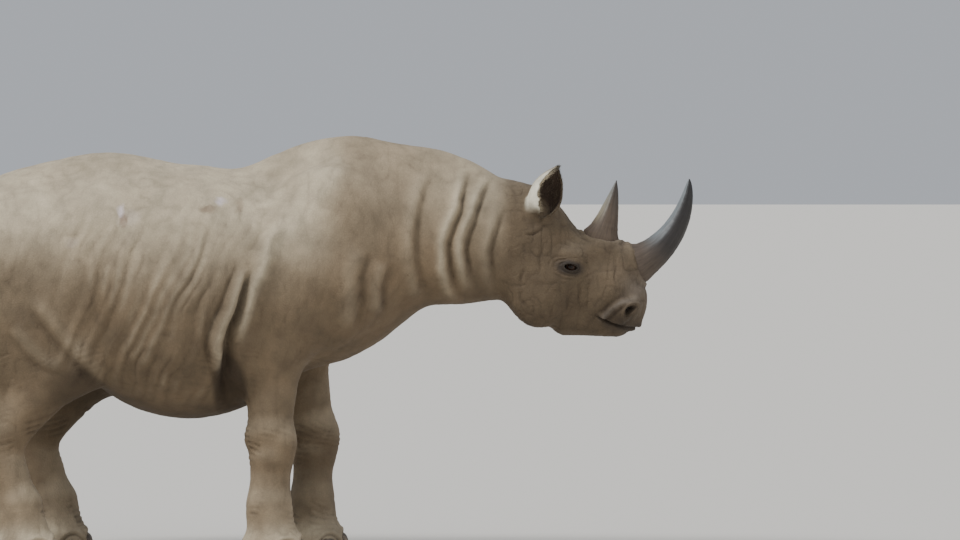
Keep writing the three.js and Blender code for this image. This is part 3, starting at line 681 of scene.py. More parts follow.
def headRelief(p, normal):
    # besides the relief it returns painted shade for the wrinkles and hollows, the dark rims round
    # the eyes, the lips, the nostril hollows and the fold over the nose
    out, crease = np.zeros(len(p)), np.zeros(len(p))
    flat = rise(np.abs(normal[:, 1]), 0.1, 0.45)
    wander = lumps(p, 60, 41) * 6 + lumps(p, 24, 42) * 2
    q = p + np.stack((wander, wander * 0, wander), 1)
    for line, wide, deep in headLines:
        ahead, share = lineDistance(q, line)
        fade = rise(share, 0, 0.35) * (1 - rise(share, 0.65, 1)) * (flat * 0.8 + 0.2)
        fade = fade * (0.62 + 0.5 * lumps(p, 34, 49))
        dip = fade * bell(ahead, wide * 0.55)
        out += fade * deep * 0.55 * bell(ahead + wide * 1.7, wide * 1.3) - deep * dip
        crease += dip * min(0.7, deep / 7)

    # socket, lids and the wrinkles that ring them
    side = flat * (np.abs(p[:, 1]) > eye["y"])
    ex, ez = sideView(p, eye["x"], eye["z"], eye["tilt"])
    toEye = np.hypot(ex, ez)
    lid = np.hypot(ex / eye["long"], ez / np.where(ez > 0, eye["high"] * eye["upper"],
                                                   eye["high"] * eye["lower"]))
    ripple = rise(lumps(p, 26, 43), -0.45, 0.25)  # the rings come and go
    ring = lid + 0.3 * lumps(p, 30, 50) * rise(lid, 1.2, 2.4)
    bulge = 10 * (1 - rise(np.hypot(ex / 42, ez / 31), 0.35, 1.05))
    hood = 4.5 * bell(ez - 17 + 0.012 * ex * ex, 6) * bell(ex, 30)  # heavy upper lid
    around = 3.2 * bell(lid - 1.22, 0.2) - 3 * bell(ring - 1.72, 0.2) * (0.5 + 0.5 * ripple)
    around += (2 * bell(ring - 2.12, 0.24) - 2.2 * bell(ring - 2.6, 0.2)
               + 1.6 * bell(ring - 3.05, 0.26) - 1.8 * bell(ring - 3.6, 0.26)) * ripple
    hole = 1 - rise(lid, 0.82, 1.04)
    out += side * (bulge + hood + around * (toEye < 90))
    out -= side * hole * eye["deep"]
    out -= side * 4 * bell(toEye - 62, 22) * rise(p[:, 0] - eye["x"], -20, 60)  # hollow ahead
    crease += side * ripple * (bell(ring - 1.72, 0.2) + bell(ring - 2.6, 0.2) * 0.7
                               + bell(ring - 3.6, 0.22) * 0.5) * (toEye < 90) * 0.6
    rim = side * (1 - rise(lid + 0.3 * lumps(p, 16, 52), 1.3, 3.1))

    # nostril: a comma-shaped hollow with a raised rim, and the fold that runs over it
    nx, nz = sideView(p, nostril["x"], nostril["z"], nostril["tilt"])
    nz = nz + 0.006 * nx * nx
    pit = np.hypot(nx / nostril["long"], nz / nostril["high"])
    hollow = (1 - rise(pit, 0.62, 1.05)) * (np.abs(p[:, 1]) > nostril["y"])
    onSide = rise(np.abs(p[:, 1]), 24, 46)
    out -= nostril["deep"] * hollow
    out += onSide * 5 * bell(pit - 1.3, 0.28) * (1 + 0.5 * np.sign(nz) * rise(np.abs(nz), 0, 16))
    ahead, share = lineDistance(q, muzzleFold)
    fade = rise(share, 0, 0.42) * (1 - rise(share, 0.8, 1)) * onSide
    fade *= rise(np.abs(normal[:, 1]), 0.25, 0.65)
    fold = fade * bell(ahead, 10)
    out += 6 * fold - 4 * fade * bell(ahead - 19, 7) - 3 * fade * bell(ahead + 20, 8)
    crease += fade * 0.6 * (bell(ahead - 19, 7) + bell(ahead + 20, 7))

    # the mouth, with full lips either side of it
    share, over = mouthLine(p)
    over = over + lumps(p, 30, 44) * 1.5
    between = (1 - rise(share, 0.88, 1.06)) * rise(p[:, 0], 900, 945)
    out -= between * mouth["deep"] * bell(over, 4)
    out += between * (4 * bell(over - 13, 9) + 3.5 * bell(over + 13, 10))
    crease += between * bell(over, 5.5)
    lips = (1 - rise(share, 1.0, 1.3)) * bell(over, 34) * rise(p[:, 0], 900, 960)

    # skin rolled up against the horns
    for (x, z), degrees, radius in hornSeats:
        along, across = sideView(p, x, z, degrees)
        away = np.hypot(across, p[:, 1] / 0.9) - radius
        here = bell(along, 60) * (1 + 0.3 * lumps(p, 16, 45))
        out += here * (4 * bell(away - 9, 7) - 2.5 * bell(away - 24, 7))
        crease += here * 0.6 * bell(away - 24, 6)

    net = (veins(p, 17, 46, 5) * 1.2 + veins(p * (1, 1, 0.6), 34, 47) * 2.1)
    net *= 1 - 0.6 * bell(toEye, 40)
    out += lumps(p, 46, 48) * 1.6 - net
    crease += 0.24 * net
    return out, crease, rim, lips, hollow, fold


p = toBody(getPoints(hide)).astype(float)
normal = getNormals(hide).astype(float)
headShare = rise(p[:, 0], *headSpan)
onEar = rise(-earDistance(p), -9, -2) * (p[:, 0] > ear["rearmost"]) * (p[:, 2] > ear["free"])
push, crease, ridgeWearAndHighlight = bodyRelief(p, normal)
k = np.flatnonzero(p[:, 0] > headSpan[0])
facePush, faceCreaseShade, faceRim, faceLips, faceHollow, faceFold = headRelief(p[k], normal[k])
lidRim, lips, hollow, noseFold = (np.zeros(len(p)) for _ in range(4))
push[k] = push[k] * (1 - headShare[k] * 0.75) + facePush * headShare[k]
crease[k] = crease[k] * (1 - headShare[k]) + faceCreaseShade * headShare[k]
lidRim[k], lips[k], hollow[k], noseFold[k] = faceRim, faceLips, faceHollow, faceFold
push *= 1 - 0.85 * onEar
push *= rise(p[:, 2], 0, 40)
moved = p + normal * push[:, None]
evened = relaxed(moved, getEdges(hide), 0.5, 2)  # smooths the thin rims of the ears
moved += (evened - moved) * (onEar > 0.5)[:, None]
moved[:, 2] = np.maximum(moved[:, 2], 0)
setPoints(hide, toFrame(moved))
print("relief made")


# markings of the skin, kept on its points

def paint(piece, name, values):
    layer = piece.data.attributes.new(name, "FLOAT", "POINT")
    layer.data.foreach_set("value", np.clip(values, 0, 1).astype(np.float32))


def spot(p, x, z, wide, high, ragged=0.35):  # a patch on the right side, seen from that side
    away = np.hypot((p[:, 0] - x) / wide, (p[:, 2] - z) / high)
    away = away + ragged * lumps(p, (wide + high) * 0.5, 51)
    return (1 - rise(away, 0.7, 1.15)) * (p[:, 1] < 0)


patchy = lumps(p, 240, 61) * 0.5 + lumps(p, 95, 62) * 0.3 + lumps(p, 33, 63) * 0.2
body = 1 - headShare
# pale dust, and painted light: skin facing up and the high back are painted paler, as if lit from
# above
dustAndTopLight = (0.75 * rise(normal[:, 2], -0.25, 0.75) + 0.35 * rise(p[:, 2], 950, 1350)) * body
dustAndTopLight += 0.25 * rise(normal[:, 2], 0.2, 0.9) * headShare
dustAndTopLight += 0.5 * (1 - rise(p[:, 2], 20, 260)) * rise(patchy, -0.4, 0.5)  # dried mud on the feet
# the front of the shoulder is darker, and the neck a little less so
dustAndTopLight *= 1 - rise(p[:, 0], -130, 30) * (0.64 - 0.22 * rise(p[:, 0], 200, 420))
dustAndTopLight += 0.62 * ridgeWearAndHighlight * body  # the crests of the folds are rubbed pale and carry a painted highlight
red = (bell(np.hypot(p[:, 0] - 190, (p[:, 2] - 1180) * 0.8), 420) + 0.4) * rise(patchy, -0.5, 0.6)
paint(hide, "red", red * 0.65 * (1 - 0.7 * headShare))
# painted shade: darker under the body, between the legs, in the armpit, behind the belly, half way
# up the flank and along the jaw; the last term is random tone
underShade = rise(-normal[:, 2], -0.1, 0.8) * rise(1180 - p[:, 2], 0, 320)
betweenLegs = (1 - rise(np.abs(p[:, 1]), 120, 260)) * rise(760 - p[:, 2], 0, 160) * body
inArmpit = armpitAt(p) * (np.abs(p[:, 1]) < armpit["y"])
behindBelly = rise(groinShadow["edgeZ"] - groinShadow["slope"] * (p[:, 0] - groinShadow["edgeX"]) - p[:, 2], 0, 45)
inGroin = behindBelly * bell(np.hypot((p[:, 0] - groinShadow["x"]) / groinShadow["wide"],
                                      (p[:, 2] - groinShadow["z"]) / groinShadow["high"]), 1)
paint(hide, "shade", underShade * 0.45 + betweenLegs * 0.5 + 0.9 * inArmpit + 0.95 * inGroin
      + 0.25 * bell(p[:, 2] - 960, 120) * body  # painted shade half way up the flank
      + 0.3 * headShare * rise(1010 - p[:, 2], 0, 140)  # and along the jaw
      + 0.15 * rise(-patchy, 0, 0.6))
# no pale dust and no painted light inside the painted shade of the armpit and groin
dustAndTopLight *= 1 - 0.9 * np.maximum(inArmpit, inGroin)
# the painted shade of the armpit and groin is also painted as crease shade
crease = np.maximum(crease, np.maximum(0.95 * inArmpit, 0.7 * inGroin))
paint(hide, "dustAndTopLight", dustAndTopLight * (0.9 + 0.45 * patchy))
paint(hide, "face", headShare * (0.85 + 0.3 * patchy) + 0.45 * rise(p[:, 0], 400, 560) * body)
# painted shade in the creases, wrinkles and hollows, and round the nails
paint(hide, "crease", crease * (0.85 + 0.3 * lumps(p, 25, 64)))
# dark wet skin at the lids, nostrils and lips, darkened further as painted shade in these hollows
mouthDarkAndShade = lips * (0.55 + 0.3 * lumps(p, 30, 65)) * rise(p[:, 0], 960, 1010)
paint(hide, "wet", np.maximum(np.maximum(lidRim * 0.9, hollow), mouthDarkAndShade))
noseBand = noseFold * 0.7 + 0.5 * headShare * bell(np.hypot(p[:, 0] - 1105, p[:, 2] - 1010), 62)
noseBand += 0.45 * headShare * rise(p[:, 2] - 0.1 * p[:, 0], 1035, 1120) * rise(p[:, 0], 930, 1050)
paint(hide, "grey", noseBand * (0.9 + 0.4 * patchy))
sore = (spot(p, -826, 1294, 13, 22) + spot(p, -458, 1336, 17, 15)
        + 0.14 * spot(p, -800, 1275, 46, 34) + 0.12 * spot(p, -1010, 1180, 30, 18))
scab = (spot(p, -816, 1262, 15, 22) * 0.85 + spot(p, -478, 1308, 38, 15, 0.7) * 0.7
        + spot(p, -386, 1326, 17, 26, 0.7) * 0.5)
paint(hide, "sore", sore)
paint(hide, "scab", scab)
fromEar = onLeft(p) - np.array(ear["base"])
earHigh = fromEar @ earAlong
earRadius, _, earOff = earShape(
    np.clip((earHigh + ear["root"]) / (ear["length"] + ear["root"]), 0, 1))
earA, earB = earOff - fromEar @ earOpening, fromEar @ earAcross
outer = rise(np.hypot(earA, earB) - earRadius + ear["wall"] / 2, -6, 4)
earTurn = np.degrees(np.arctan2(earB, earA))
tipShare = rise(earHigh, 150, 225)
# pale back rim of the ear, painted paler on that side as a highlight
pale = (onEar * outer * rise(-earTurn + 12 * lumps(p, 30, 67), 5, 65)
        * rise(earHigh + 16 * lumps(p, 26, 68), 18, 74) * (1 - 0.6 * tipShare))
# dark inside of the cup, with painted shade there
cupDarkAndShaded = onEar * (1 - outer) * (1 - 0.5 * rise(-lumps(p, 26, 66), 0.1, 0.6))
blended = relaxed(np.stack((pale, cupDarkAndShaded, cupDarkAndShaded), 1), getEdges(hide), 0.6, 4)
paint(hide, "earPaleAndLit", blended[:, 0])
paint(hide, "earDarkAndShaded", blended[:, 1])
print("skin painted")

modifier(hide, "TRIANGULATE", "triangles")
modifier(hide, "DECIMATE", "fewer where flat",
         ratio=min(1, skin["faces"] / len(hide.data.polygons)))
thinned = getPoints(hide)
thinned[:, 2] = np.maximum(thinned[:, 2], 0)  # the soles stay on the floor
setPoints(hide, thinned)
print("skin faces", len(hide.data.polygons))
only(hide)
bpy.ops.object.shade_smooth()
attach(hide, "root")
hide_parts(*skin["parts"], "tail")

# rhinoceros hide, dusty and dry: fine cracked scales 10 to 15 mm across, chalky, no shine
hideLook = dict(
    base="#7d6b53", rough=0.86, cell=0.010, fine=0.004, wrinkle=0.034, bump=0.0022,
    layers=(  # marking, colour, strength
        ("red", "#8a7053", 0.5),
        ("face", "#564836", 0.85),
        # painted shade
        ("shade", "#4d402f", 0.9),
        # pale dust, and painted light on the skin facing up
        ("dustAndTopLight", "#cdbfa4", 0.84),
        ("grey", "#827a72", 0.8),
        # pale ear rim with a painted highlight, then the dark cup with painted shade
        ("earPaleAndLit", "#f0e9d2", 0.96),
        ("earDarkAndShaded", "#43342a", 0.9),
        ("sore", "#e2d6d6", 0.9),
        ("scab", "#6f4f3a", 0.65),
        # painted shade in the creases
        ("crease", "#33261a", 0.55),
        # dark wet skin, and painted shade in the hollows of the eyes, nostrils and mouth
        ("wet", "#1c130d", 0.92),
    ),
)


def colourOf(hexText):  # sRGB hex to the linear values a shader takes
    parts = [int(hexText[n:n + 2], 16) / 255 for n in (1, 3, 5)]
    return (*[c / 12.92 if c <= 0.04045 else ((c + 0.055) / 1.055) ** 2.4 for c in parts], 1)


def addNode(tree, kind, sockets=None, **settings):
    node = tree.nodes.new(kind)
    for key, value in settings.items():
        setattr(node, key, value)
    for key, value in (sockets or {}).items():
        if isinstance(value, bpy.types.NodeSocket):
            tree.links.new(value, node.inputs[key])
        else:
            node.inputs[key].default_value = value
    return node


def newMaterial(name, rough, **fixed):
    made = bpy.data.materials.new(name)
    made.use_nodes = True
    shader = made.node_tree.nodes["Principled BSDF"]
    shader.inputs["Roughness"].default_value = rough
    for key, value in fixed.items():
        shader.inputs[key.replace("_", " ")].default_value = value
    return made, made.node_tree, shader


hideMaterial, tree, shader = newMaterial("dusty cracked hide", hideLook["rough"])
place = addNode(tree, "ShaderNodeTexCoord").outputs["Object"]
bend = addNode(tree, "ShaderNodeTexNoise", {"Vector": place, "Scale": 24.0, "Detail": 3.0})
warped = addNode(tree, "ShaderNodeVectorMath", {0: bend.outputs["Color"], 1: (0.016,) * 3,
                                                2: place}, operation="MULTIPLY_ADD")
cracks = addNode(tree, "ShaderNodeTexVoronoi",
                 {"Vector": warped.outputs[0], "Scale": 1 / hideLook["cell"]},
                 feature="DISTANCE_TO_EDGE")
scales = addNode(tree, "ShaderNodeMapRange", {"Value": cracks.outputs["Distance"],
                                              "From Min": 0.0, "From Max": 0.22})
upright = addNode(tree, "ShaderNodeMapping", {"Vector": warped.outputs[0],
                                              "Scale": (1.0, 1.0, 0.5)})
wrinkle = addNode(tree, "ShaderNodeTexNoise", {
    "Vector": upright.outputs[0], "Scale": 1 / hideLook["wrinkle"], "Detail": 3.0,
    "Roughness": 0.5, "Offset": 0.9, "Gain": 1.6}, noise_type="RIDGED_MULTIFRACTAL")
plates = addNode(tree, "ShaderNodeMapRange", {"Value": wrinkle.outputs["Fac"], "From Min": 0.9,
                                              "From Max": 2.1, "To Min": 1.0, "To Max": 0.0})
grain = addNode(tree, "ShaderNodeTexNoise", {"Vector": place, "Scale": 1 / hideLook["fine"],
                                             "Detail": 4.0, "Roughness": 0.6})
blotch = addNode(tree, "ShaderNodeTexNoise", {"Vector": place, "Scale": 9.0, "Detail": 7.0,
                                              "Roughness": 0.62})
colour = colourOf(hideLook["base"])
for marking, shade, strength in hideLook["layers"]:
    amount = addNode(tree, "ShaderNodeMath",
                     {0: addNode(tree, "ShaderNodeAttribute", attribute_name=marking).outputs["Fac"],
                      1: strength}, operation="MULTIPLY", use_clamp=True)
    colour = addNode(tree, "ShaderNodeMix", {0: amount.outputs[0], 6: colour, 7: colourOf(shade)},
                     data_type="RGBA").outputs[2]
# uneven dust, then darker in the cracks and the wrinkles
uneven = addNode(tree, "ShaderNodeMapRange", {"Value": blotch.outputs["Fac"], "From Min": 0.3,
                                              "From Max": 0.7, "To Min": 0.78, "To Max": 1.16})
seams = addNode(tree, "ShaderNodeMath", {0: scales.outputs[0], 1: 0.08, 2: 0.84},
                operation="MULTIPLY_ADD")
seams = addNode(tree, "ShaderNodeMath", {0: plates.outputs[0], 1: 0.12, 2: seams.outputs[0]},
                operation="MULTIPLY_ADD")
tone = addNode(tree, "ShaderNodeMath", {0: uneven.outputs[0], 1: seams.outputs[0]},
               operation="MULTIPLY")
tinted = addNode(tree, "ShaderNodeVectorMath", {0: colour, 3: tone.outputs[0]}, operation="SCALE")
tree.links.new(tinted.outputs[0], shader.inputs["Base Color"])
height = addNode(tree, "ShaderNodeMath", {0: scales.outputs[0], 1: 0.4,
                                          2: grain.outputs["Fac"]}, operation="MULTIPLY_ADD")
height = addNode(tree, "ShaderNodeMath", {0: plates.outputs[0], 1: 1.1, 2: height.outputs[0]},
                 operation="MULTIPLY_ADD")
bump = addNode(tree, "ShaderNodeBump", {"Height": height.outputs[0], "Strength": 0.55,
                                        "Distance": hideLook["bump"]})
tree.links.new(bump.outputs[0], shader.inputs["Normal"])
wetness = addNode(tree, "ShaderNodeAttribute", attribute_name="wet")
rough = addNode(tree, "ShaderNodeMapRange", {"Value": wetness.outputs["Fac"],
                                             "To Min": hideLook["rough"], "To Max": 0.68})
tree.links.new(rough.outputs[0], shader.inputs["Roughness"])
hide.data.materials.clear()
hide.data.materials.append(hideMaterial)

# horns: hair-like keratin, rough and split at the foot, worn smooth to the tip

horns = dict(
    horn_front=dict(base=(1112, 1104), length=388, start=24, end=88, bend=0.85,
                    radius=(66, 0.62, 12, 0.08)),
    horn_rear=dict(base=(973, 1205), length=216, start=70, end=80, bend=1,
                   radius=(56, 0.8, 15, 0.12)),
    sunk=40, stations=150, tip=2.5, narrow=0.9,
)


def hornLine(size):
    steps = horns["stations"]
    u = (np.arange(steps) + 0.5) / steps
    turn = np.radians(size["start"] + (size["end"] - size["start"]) * u ** size["bend"])
    step = size["length"] / steps
    x = np.concatenate(((0,), np.cumsum(np.cos(turn)) * step))
    z = np.concatenate(((0,), np.cumsum(np.sin(turn)) * step))
    u = np.concatenate(((-horns["sunk"] / size["length"],), np.linspace(0, 1, steps + 1)))
    first = math.radians(size["start"])
    x = np.concatenate(((-math.cos(first) * horns["sunk"],), x)) + size["base"][0]
    z = np.concatenate(((-math.sin(first) * horns["sunk"],), z)) + size["base"][1]
    big, fall, foot, footLong = size["radius"]
    along = np.clip(u, 0, 1)
    radius = big * (1 - along) ** fall + foot * np.exp(-along / footLong)
    radius = np.maximum(horns["tip"], radius)
    return np.stack((x, x * 0, z), 1), radius, u


hornMaterial, tree, shader = newMaterial("keratin horn", 0.42)
grainAt = addNode(tree, "ShaderNodeAttribute", attribute_name="grain").outputs["Vector"]
upHorn = addNode(tree, "ShaderNodeAttribute", attribute_name="along").outputs["Fac"]
# where the rear edge is worn pale and painted as a reflection
rear = addNode(tree, "ShaderNodeAttribute", attribute_name="rear").outputs["Fac"]
fibre = addNode(tree, "ShaderNodeTexNoise", {"Vector": grainAt, "Scale": 1.0, "Detail": 5.0,
                                             "Roughness": 0.6})
tan = addNode(tree, "ShaderNodeAttribute", attribute_name="tan").outputs["Fac"]
darkening = addNode(tree, "ShaderNodeValToRGB", {"Fac": upHorn})
ramp = darkening.color_ramp
ramp.elements[0].position, ramp.elements[0].color = 0.0, colourOf("#544a42")
ramp.elements[1].position, ramp.elements[1].color = 1.0, colourOf("#1a1818")
middle = ramp.elements.new(0.32)
middle.color = colourOf("#302b28")
browned = addNode(tree, "ShaderNodeMix", {0: tan, 6: darkening.outputs["Color"],
                                          7: colourOf("#5a4b3c")}, data_type="RGBA")
# the pale rear edge: wear and a painted reflection
edge = addNode(tree, "ShaderNodeMix", {0: tan, 6: colourOf("#7a8082"), 7: colourOf("#968b70")},
               data_type="RGBA")
wornAndHighlight = addNode(tree, "ShaderNodeMix", {0: rear, 6: browned.outputs[2], 7: edge.outputs[2]},
               data_type="RGBA")
streak = addNode(tree, "ShaderNodeMapRange", {"Value": fibre.outputs["Fac"], "From Min": 0.3,
                                              "From Max": 0.7, "To Min": 0.68, "To Max": 1.22})
streaked = addNode(tree, "ShaderNodeVectorMath", {0: wornAndHighlight.outputs[2], 3: streak.outputs[0]},
                   operation="SCALE")
tree.links.new(streaked.outputs[0], shader.inputs["Base Color"])
hornRough = addNode(tree, "ShaderNodeMapRange", {"Value": upHorn, "From Max": 0.5,
                                                 "To Min": 0.78, "To Max": 0.43})
tree.links.new(hornRough.outputs[0], shader.inputs["Roughness"])
bump = addNode(tree, "ShaderNodeBump", {"Height": fibre.outputs["Fac"], "Strength": 0.5,
                                        "Distance": 0.0015})
tree.links.new(bump.outputs[0], shader.inputs["Normal"])

for name in ("horn_front", "horn_rear"):
    size = horns[name]
    centre, radius, u = hornLine(size)
    piece = taperedRod(name + "_keratin", toFrame(centre), radius / 1000, 18)
    q = toBody(getPoints(piece)).astype(float)
    near = np.array([np.argmin(((centre - point) ** 2).sum(1)) for point in q])
    out = q - centre[near]
    away = np.linalg.norm(out, axis=1)
    rim = away > 1e-3
    out[rim] /= away[rim, None]
    slope = np.gradient(centre, axis=0)[near]
    slope /= np.linalg.norm(slope, axis=1)[:, None]
    square = np.cross(slope, (0, 1, 0))
    turn = np.arctan2(out[:, 1], (out * square).sum(1))
    share = np.clip(u[near], 0, 1)
    ringed = np.stack((np.cos(turn) * 60, np.sin(turn) * 60, share * size["length"]), 1)
    lift = lumps(ringed * (1, 1, 0.10), 9, 71) * 1.5 * (1 - share) ** 1.2  # upright fibres
    lift += lumps(ringed * (0.25, 0.25, 1), 11, 72) * 1.0 * (1 - share) ** 0.6  # growth rings
    lift += np.abs(lumps(ringed * (1, 1, 0.3), 6, 73)) * 3.5 * bell(share, 0.07)  # frayed foot
    q += out * lift[:, None]
    q[:, 1] *= horns["narrow"]
    setPoints(piece, toFrame(q))
    paint(piece, "along", share)
    # worn pale along the rear edge, which is the inside of the curve, and painted paler there as a
    # reflection
    paint(piece, "rear", rise(np.cos(turn) + 0.25 * lumps(ringed * (1, 1, 0.1), 12, 74), 0.2, 0.95)
          * rise(share, 0.08, 0.42))
    paint(piece, "tan", (1 - rise(share, 0.0, 0.3)) * 0.5 if name == "horn_front"
          else 0.85 - 0.6 * rise(share, 0.3, 1))
    layer = piece.data.attributes.new("grain", "FLOAT_VECTOR", "POINT")
    layer.data.foreach_set("vector", (ringed * (0.16, 0.16, 0.018)).astype(np.float32).ravel())
    piece.data.materials.append(hornMaterial)
    only(piece)
    bpy.ops.object.shade_smooth()
    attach(piece, "root")
    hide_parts(name)
print("horns made")

# eyes: a wet ball with a dark brown iris and a lying oval pupil

eyeBall = dict(iris=10.5, pupil=(5.2, 3.4), cornea=1.4, corneaWide=8.5)
eyeMaterial, tree, shader = newMaterial("wet eye", 0.08, IOR=1.34)
eyeAt = addNode(tree, "ShaderNodeAttribute", attribute_name="iris").outputs["Fac"]
pupilAt = addNode(tree, "ShaderNodeAttribute", attribute_name="pupil").outputs["Fac"]
flecks = addNode(tree, "ShaderNodeTexNoise", {
    "Vector": addNode(tree, "ShaderNodeTexCoord").outputs["Object"], "Scale": 420.0, "Detail": 4.0})
irisColour = addNode(tree, "ShaderNodeMix", {0: flecks.outputs["Fac"], 6: colourOf("#140b06"),
                                             7: colourOf("#2c1a0e")}, data_type="RGBA")
white = addNode(tree, "ShaderNodeMix", {0: flecks.outputs["Fac"], 6: colourOf("#2b1d16"),
                                        7: colourOf("#4a372c")}, data_type="RGBA")
ballColour = addNode(tree, "ShaderNodeMix", {0: eyeAt, 6: white.outputs[2],
                                             7: irisColour.outputs[2]}, data_type="RGBA")
ballColour = addNode(tree, "ShaderNodeMix", {0: pupilAt, 6: ballColour.outputs[2],
                                             7: colourOf("#050404")}, data_type="RGBA")
tree.links.new(ballColour.outputs[2], shader.inputs["Base Color"])

for name in ("eye_right", "eye_left"):
    low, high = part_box(name)
    centre = (low + high) / 2
    side = -1 if centre.y < 0 else 1
    bpy.ops.mesh.primitive_uv_sphere_add(segments=48, ring_count=32, radius=eye["radius"] / 1000,
                                         location=centre, rotation=(math.radians(-90 * side), 0, 0))
    piece = newPiece(name + "_ball")
    bpy.ops.object.transform_apply(location=True, rotation=True, scale=True)
    q = (getPoints(piece) - np.array(centre)) * 1000
    fromAxis = np.hypot(q[:, 0], q[:, 2])
    front = q[:, 1] * side > 0
    bulge = bell(fromAxis / eyeBall["corneaWide"], 1) * front
    q *= (1 + eyeBall["cornea"] / eye["radius"] * bulge)[:, None]
    setPoints(piece, q / 1000 + np.array(centre))
    paint(piece, "iris", (1 - rise(fromAxis, eyeBall["iris"] - 1, eyeBall["iris"] + 0.6)) * front)
    pupil = np.hypot(q[:, 0] / eyeBall["pupil"][0], q[:, 2] / eyeBall["pupil"][1])
    paint(piece, "pupil", (1 - rise(pupil, 0.8, 1.15)) * front)
    piece.data.materials.append(eyeMaterial)
    only(piece)
    bpy.ops.object.shade_smooth()
    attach(piece, "root")
    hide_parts(name)
print("eyes made")

# nails: three broad hoof-like nails on each foot

nailMaterial, tree, shader = newMaterial("worn nail", 0.6)
place = addNode(tree, "ShaderNodeTexCoord").outputs["Object"]
upright = addNode(tree, "ShaderNodeMapping", {"Vector": place, "Scale": (1.0, 1.0, 0.12)})
lines = addNode(tree, "ShaderNodeTexNoise", {"Vector": upright.outputs[0], "Scale": 420.0,
                                             "Detail": 4.0})
dirt = addNode(tree, "ShaderNodeTexNoise", {"Vector": place, "Scale": 38.0, "Detail": 6.0})
nailColour = addNode(tree, "ShaderNodeMix", {0: lines.outputs["Fac"], 6: colourOf("#2c2723"),
                                             7: colourOf("#6a5f53")}, data_type="RGBA")
dusted = addNode(tree, "ShaderNodeMapRange", {"Value": dirt.outputs["Fac"], "From Min": 0.42,
                                              "From Max": 0.75, "To Max": 0.75})
nailColour = addNode(tree, "ShaderNodeMix", {0: dusted.outputs[0], 6: nailColour.outputs[2],
                                             7: colourOf("#9c8a72")}, data_type="RGBA")
tree.links.new(nailColour.outputs[2], shader.inputs["Base Color"])
bump = addNode(tree, "ShaderNodeBump", {"Height": lines.outputs["Fac"], "Strength": 0.5,
                                        "Distance": 0.0012})
tree.links.new(bump.outputs[0], shader.inputs["Normal"])

for leg, toe, centre, turn, size in nailSpots():
    bpy.ops.mesh.primitive_uv_sphere_add(segments=40, ring_count=28, radius=1)
    nodeName = "nail_" + leg.replace("fore", "front").replace(" ", "_") + "_" + str(toe + 2)
    piece = newPiece(nodeName + "_keratin")
    q = getPoints(piece).astype(float)
    q = np.sign(q) * np.abs(q) ** np.array((1, 0.88, 0.94))  # squarer than an egg
    q *= np.array((nail["thick"], nail["wide"] * size, nail["high"] * size))
    q *= (1 + 0.03 * lumps(q * (1, 1, 0.1) + 400 * toe + centre[0], 8, 81))[:, None]
    q[:, 0] -= q[:, 1] ** 2 / nail["wrap"]  # wrapped round the foot
    q[:, 0] += nail["splay"] * rise(30 - q[:, 2], 0, 45) * (q[:, 0] > 0)  # out to its worn edge
    c, s = math.cos(turn), math.sin(turn)
    q = np.stack((q[:, 0] * c - q[:, 1] * s, q[:, 0] * s + q[:, 1] * c, q[:, 2]), 1) + centre
    setPoints(piece, toFrame(q))
    only(piece)
    bpy.ops.object.mode_set(mode="EDIT")
    bpy.ops.mesh.select_all(action="SELECT")
    bpy.ops.mesh.bisect(plane_co=(0, 0, 0.0002), plane_no=(0, 0, 1), use_fill=True,
                        clear_inner=True)
    bpy.ops.object.mode_set(mode="OBJECT")
    piece.data.materials.append(nailMaterial)
    only(piece)
    bpy.ops.object.shade_smooth_by_angle(angle=math.radians(50))
    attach(piece, "root")
    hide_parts(nodeName)
print("nails made")

# hair: tassel of the tail, fringes of the ears, lashes; each hair a thin tapering blade

hairMaterial, tree, shader = newMaterial("coarse hair", 0.5)
shadeAt = addNode(tree, "ShaderNodeAttribute", attribute_name="pale").outputs["Fac"]
strands = addNode(tree, "ShaderNodeMix", {0: shadeAt, 6: colourOf("#1c1714"),
                                          7: colourOf("#d8c9aa")}, data_type="RGBA")
tree.links.new(strands.outputs[2], shader.inputs["Base Color"])


blade = dict(levels=5, thin=0.88, flat=0.6, patch=0.003)


def hairPiece(name, hairs):  # hairs: root, direction, droop, length, width, pale, place on the map
    points, faces, pale, spots = [], [], [], []
    levels, patch = blade["levels"], blade["patch"]
    for root, way, droop, length, wide, light, at in hairs:
        way = np.array(way, float) / np.linalg.norm(way)
        flatWay = np.cross(way, rng.normal(size=3))
        flatWay /= np.linalg.norm(flatWay)
        other = np.cross(way, flatWay)
        first = len(points)
        for level in range(levels):
            t = level / (levels - 1)
            middle = np.array(root) + way * length * t + np.array(droop) * length * t * t
            w = wide * (1 - blade["thin"] * t ** 1.5) / 2
            for k in range(3):
                a = k * 2 * math.pi / 3
                points.append(middle + (flatWay * math.cos(a)
                                        + other * math.sin(a) * blade["flat"]) * w)
            pale += [light] * 3
            spots += [(at[0] + patch * (k / 3 - 0.5), at[1] + patch * (t - 0.5)) for k in range(3)]
        for level in range(levels - 1):
            for k in range(3):
                a, b = first + level * 3 + k, first + level * 3 + (k + 1) % 3
                faces.append((a, b, b + 3, a + 3))
        faces += [(first + 2, first + 1, first),
                  tuple(first + (levels - 1) * 3 + k for k in range(3))]
    mesh = bpy.data.meshes.new(name)
    mesh.from_pydata([tuple(point) for point in toFrame(np.array(points))], [], faces)
    piece = linked(name, mesh)
    uv = mesh.uv_layers.new(name="OFBake")
    corners = np.empty(len(mesh.loops), np.int32)
    mesh.loops.foreach_get("vertex_index", corners)
    uv.data.foreach_set("uv", np.array(spots, np.float32)[corners].ravel())
    paint(piece, "pale", np.array(pale))
    mesh.materials.append(hairMaterial)
    only(piece)
    bpy.ops.object.shade_smooth()
    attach(piece, "root")
    return piece


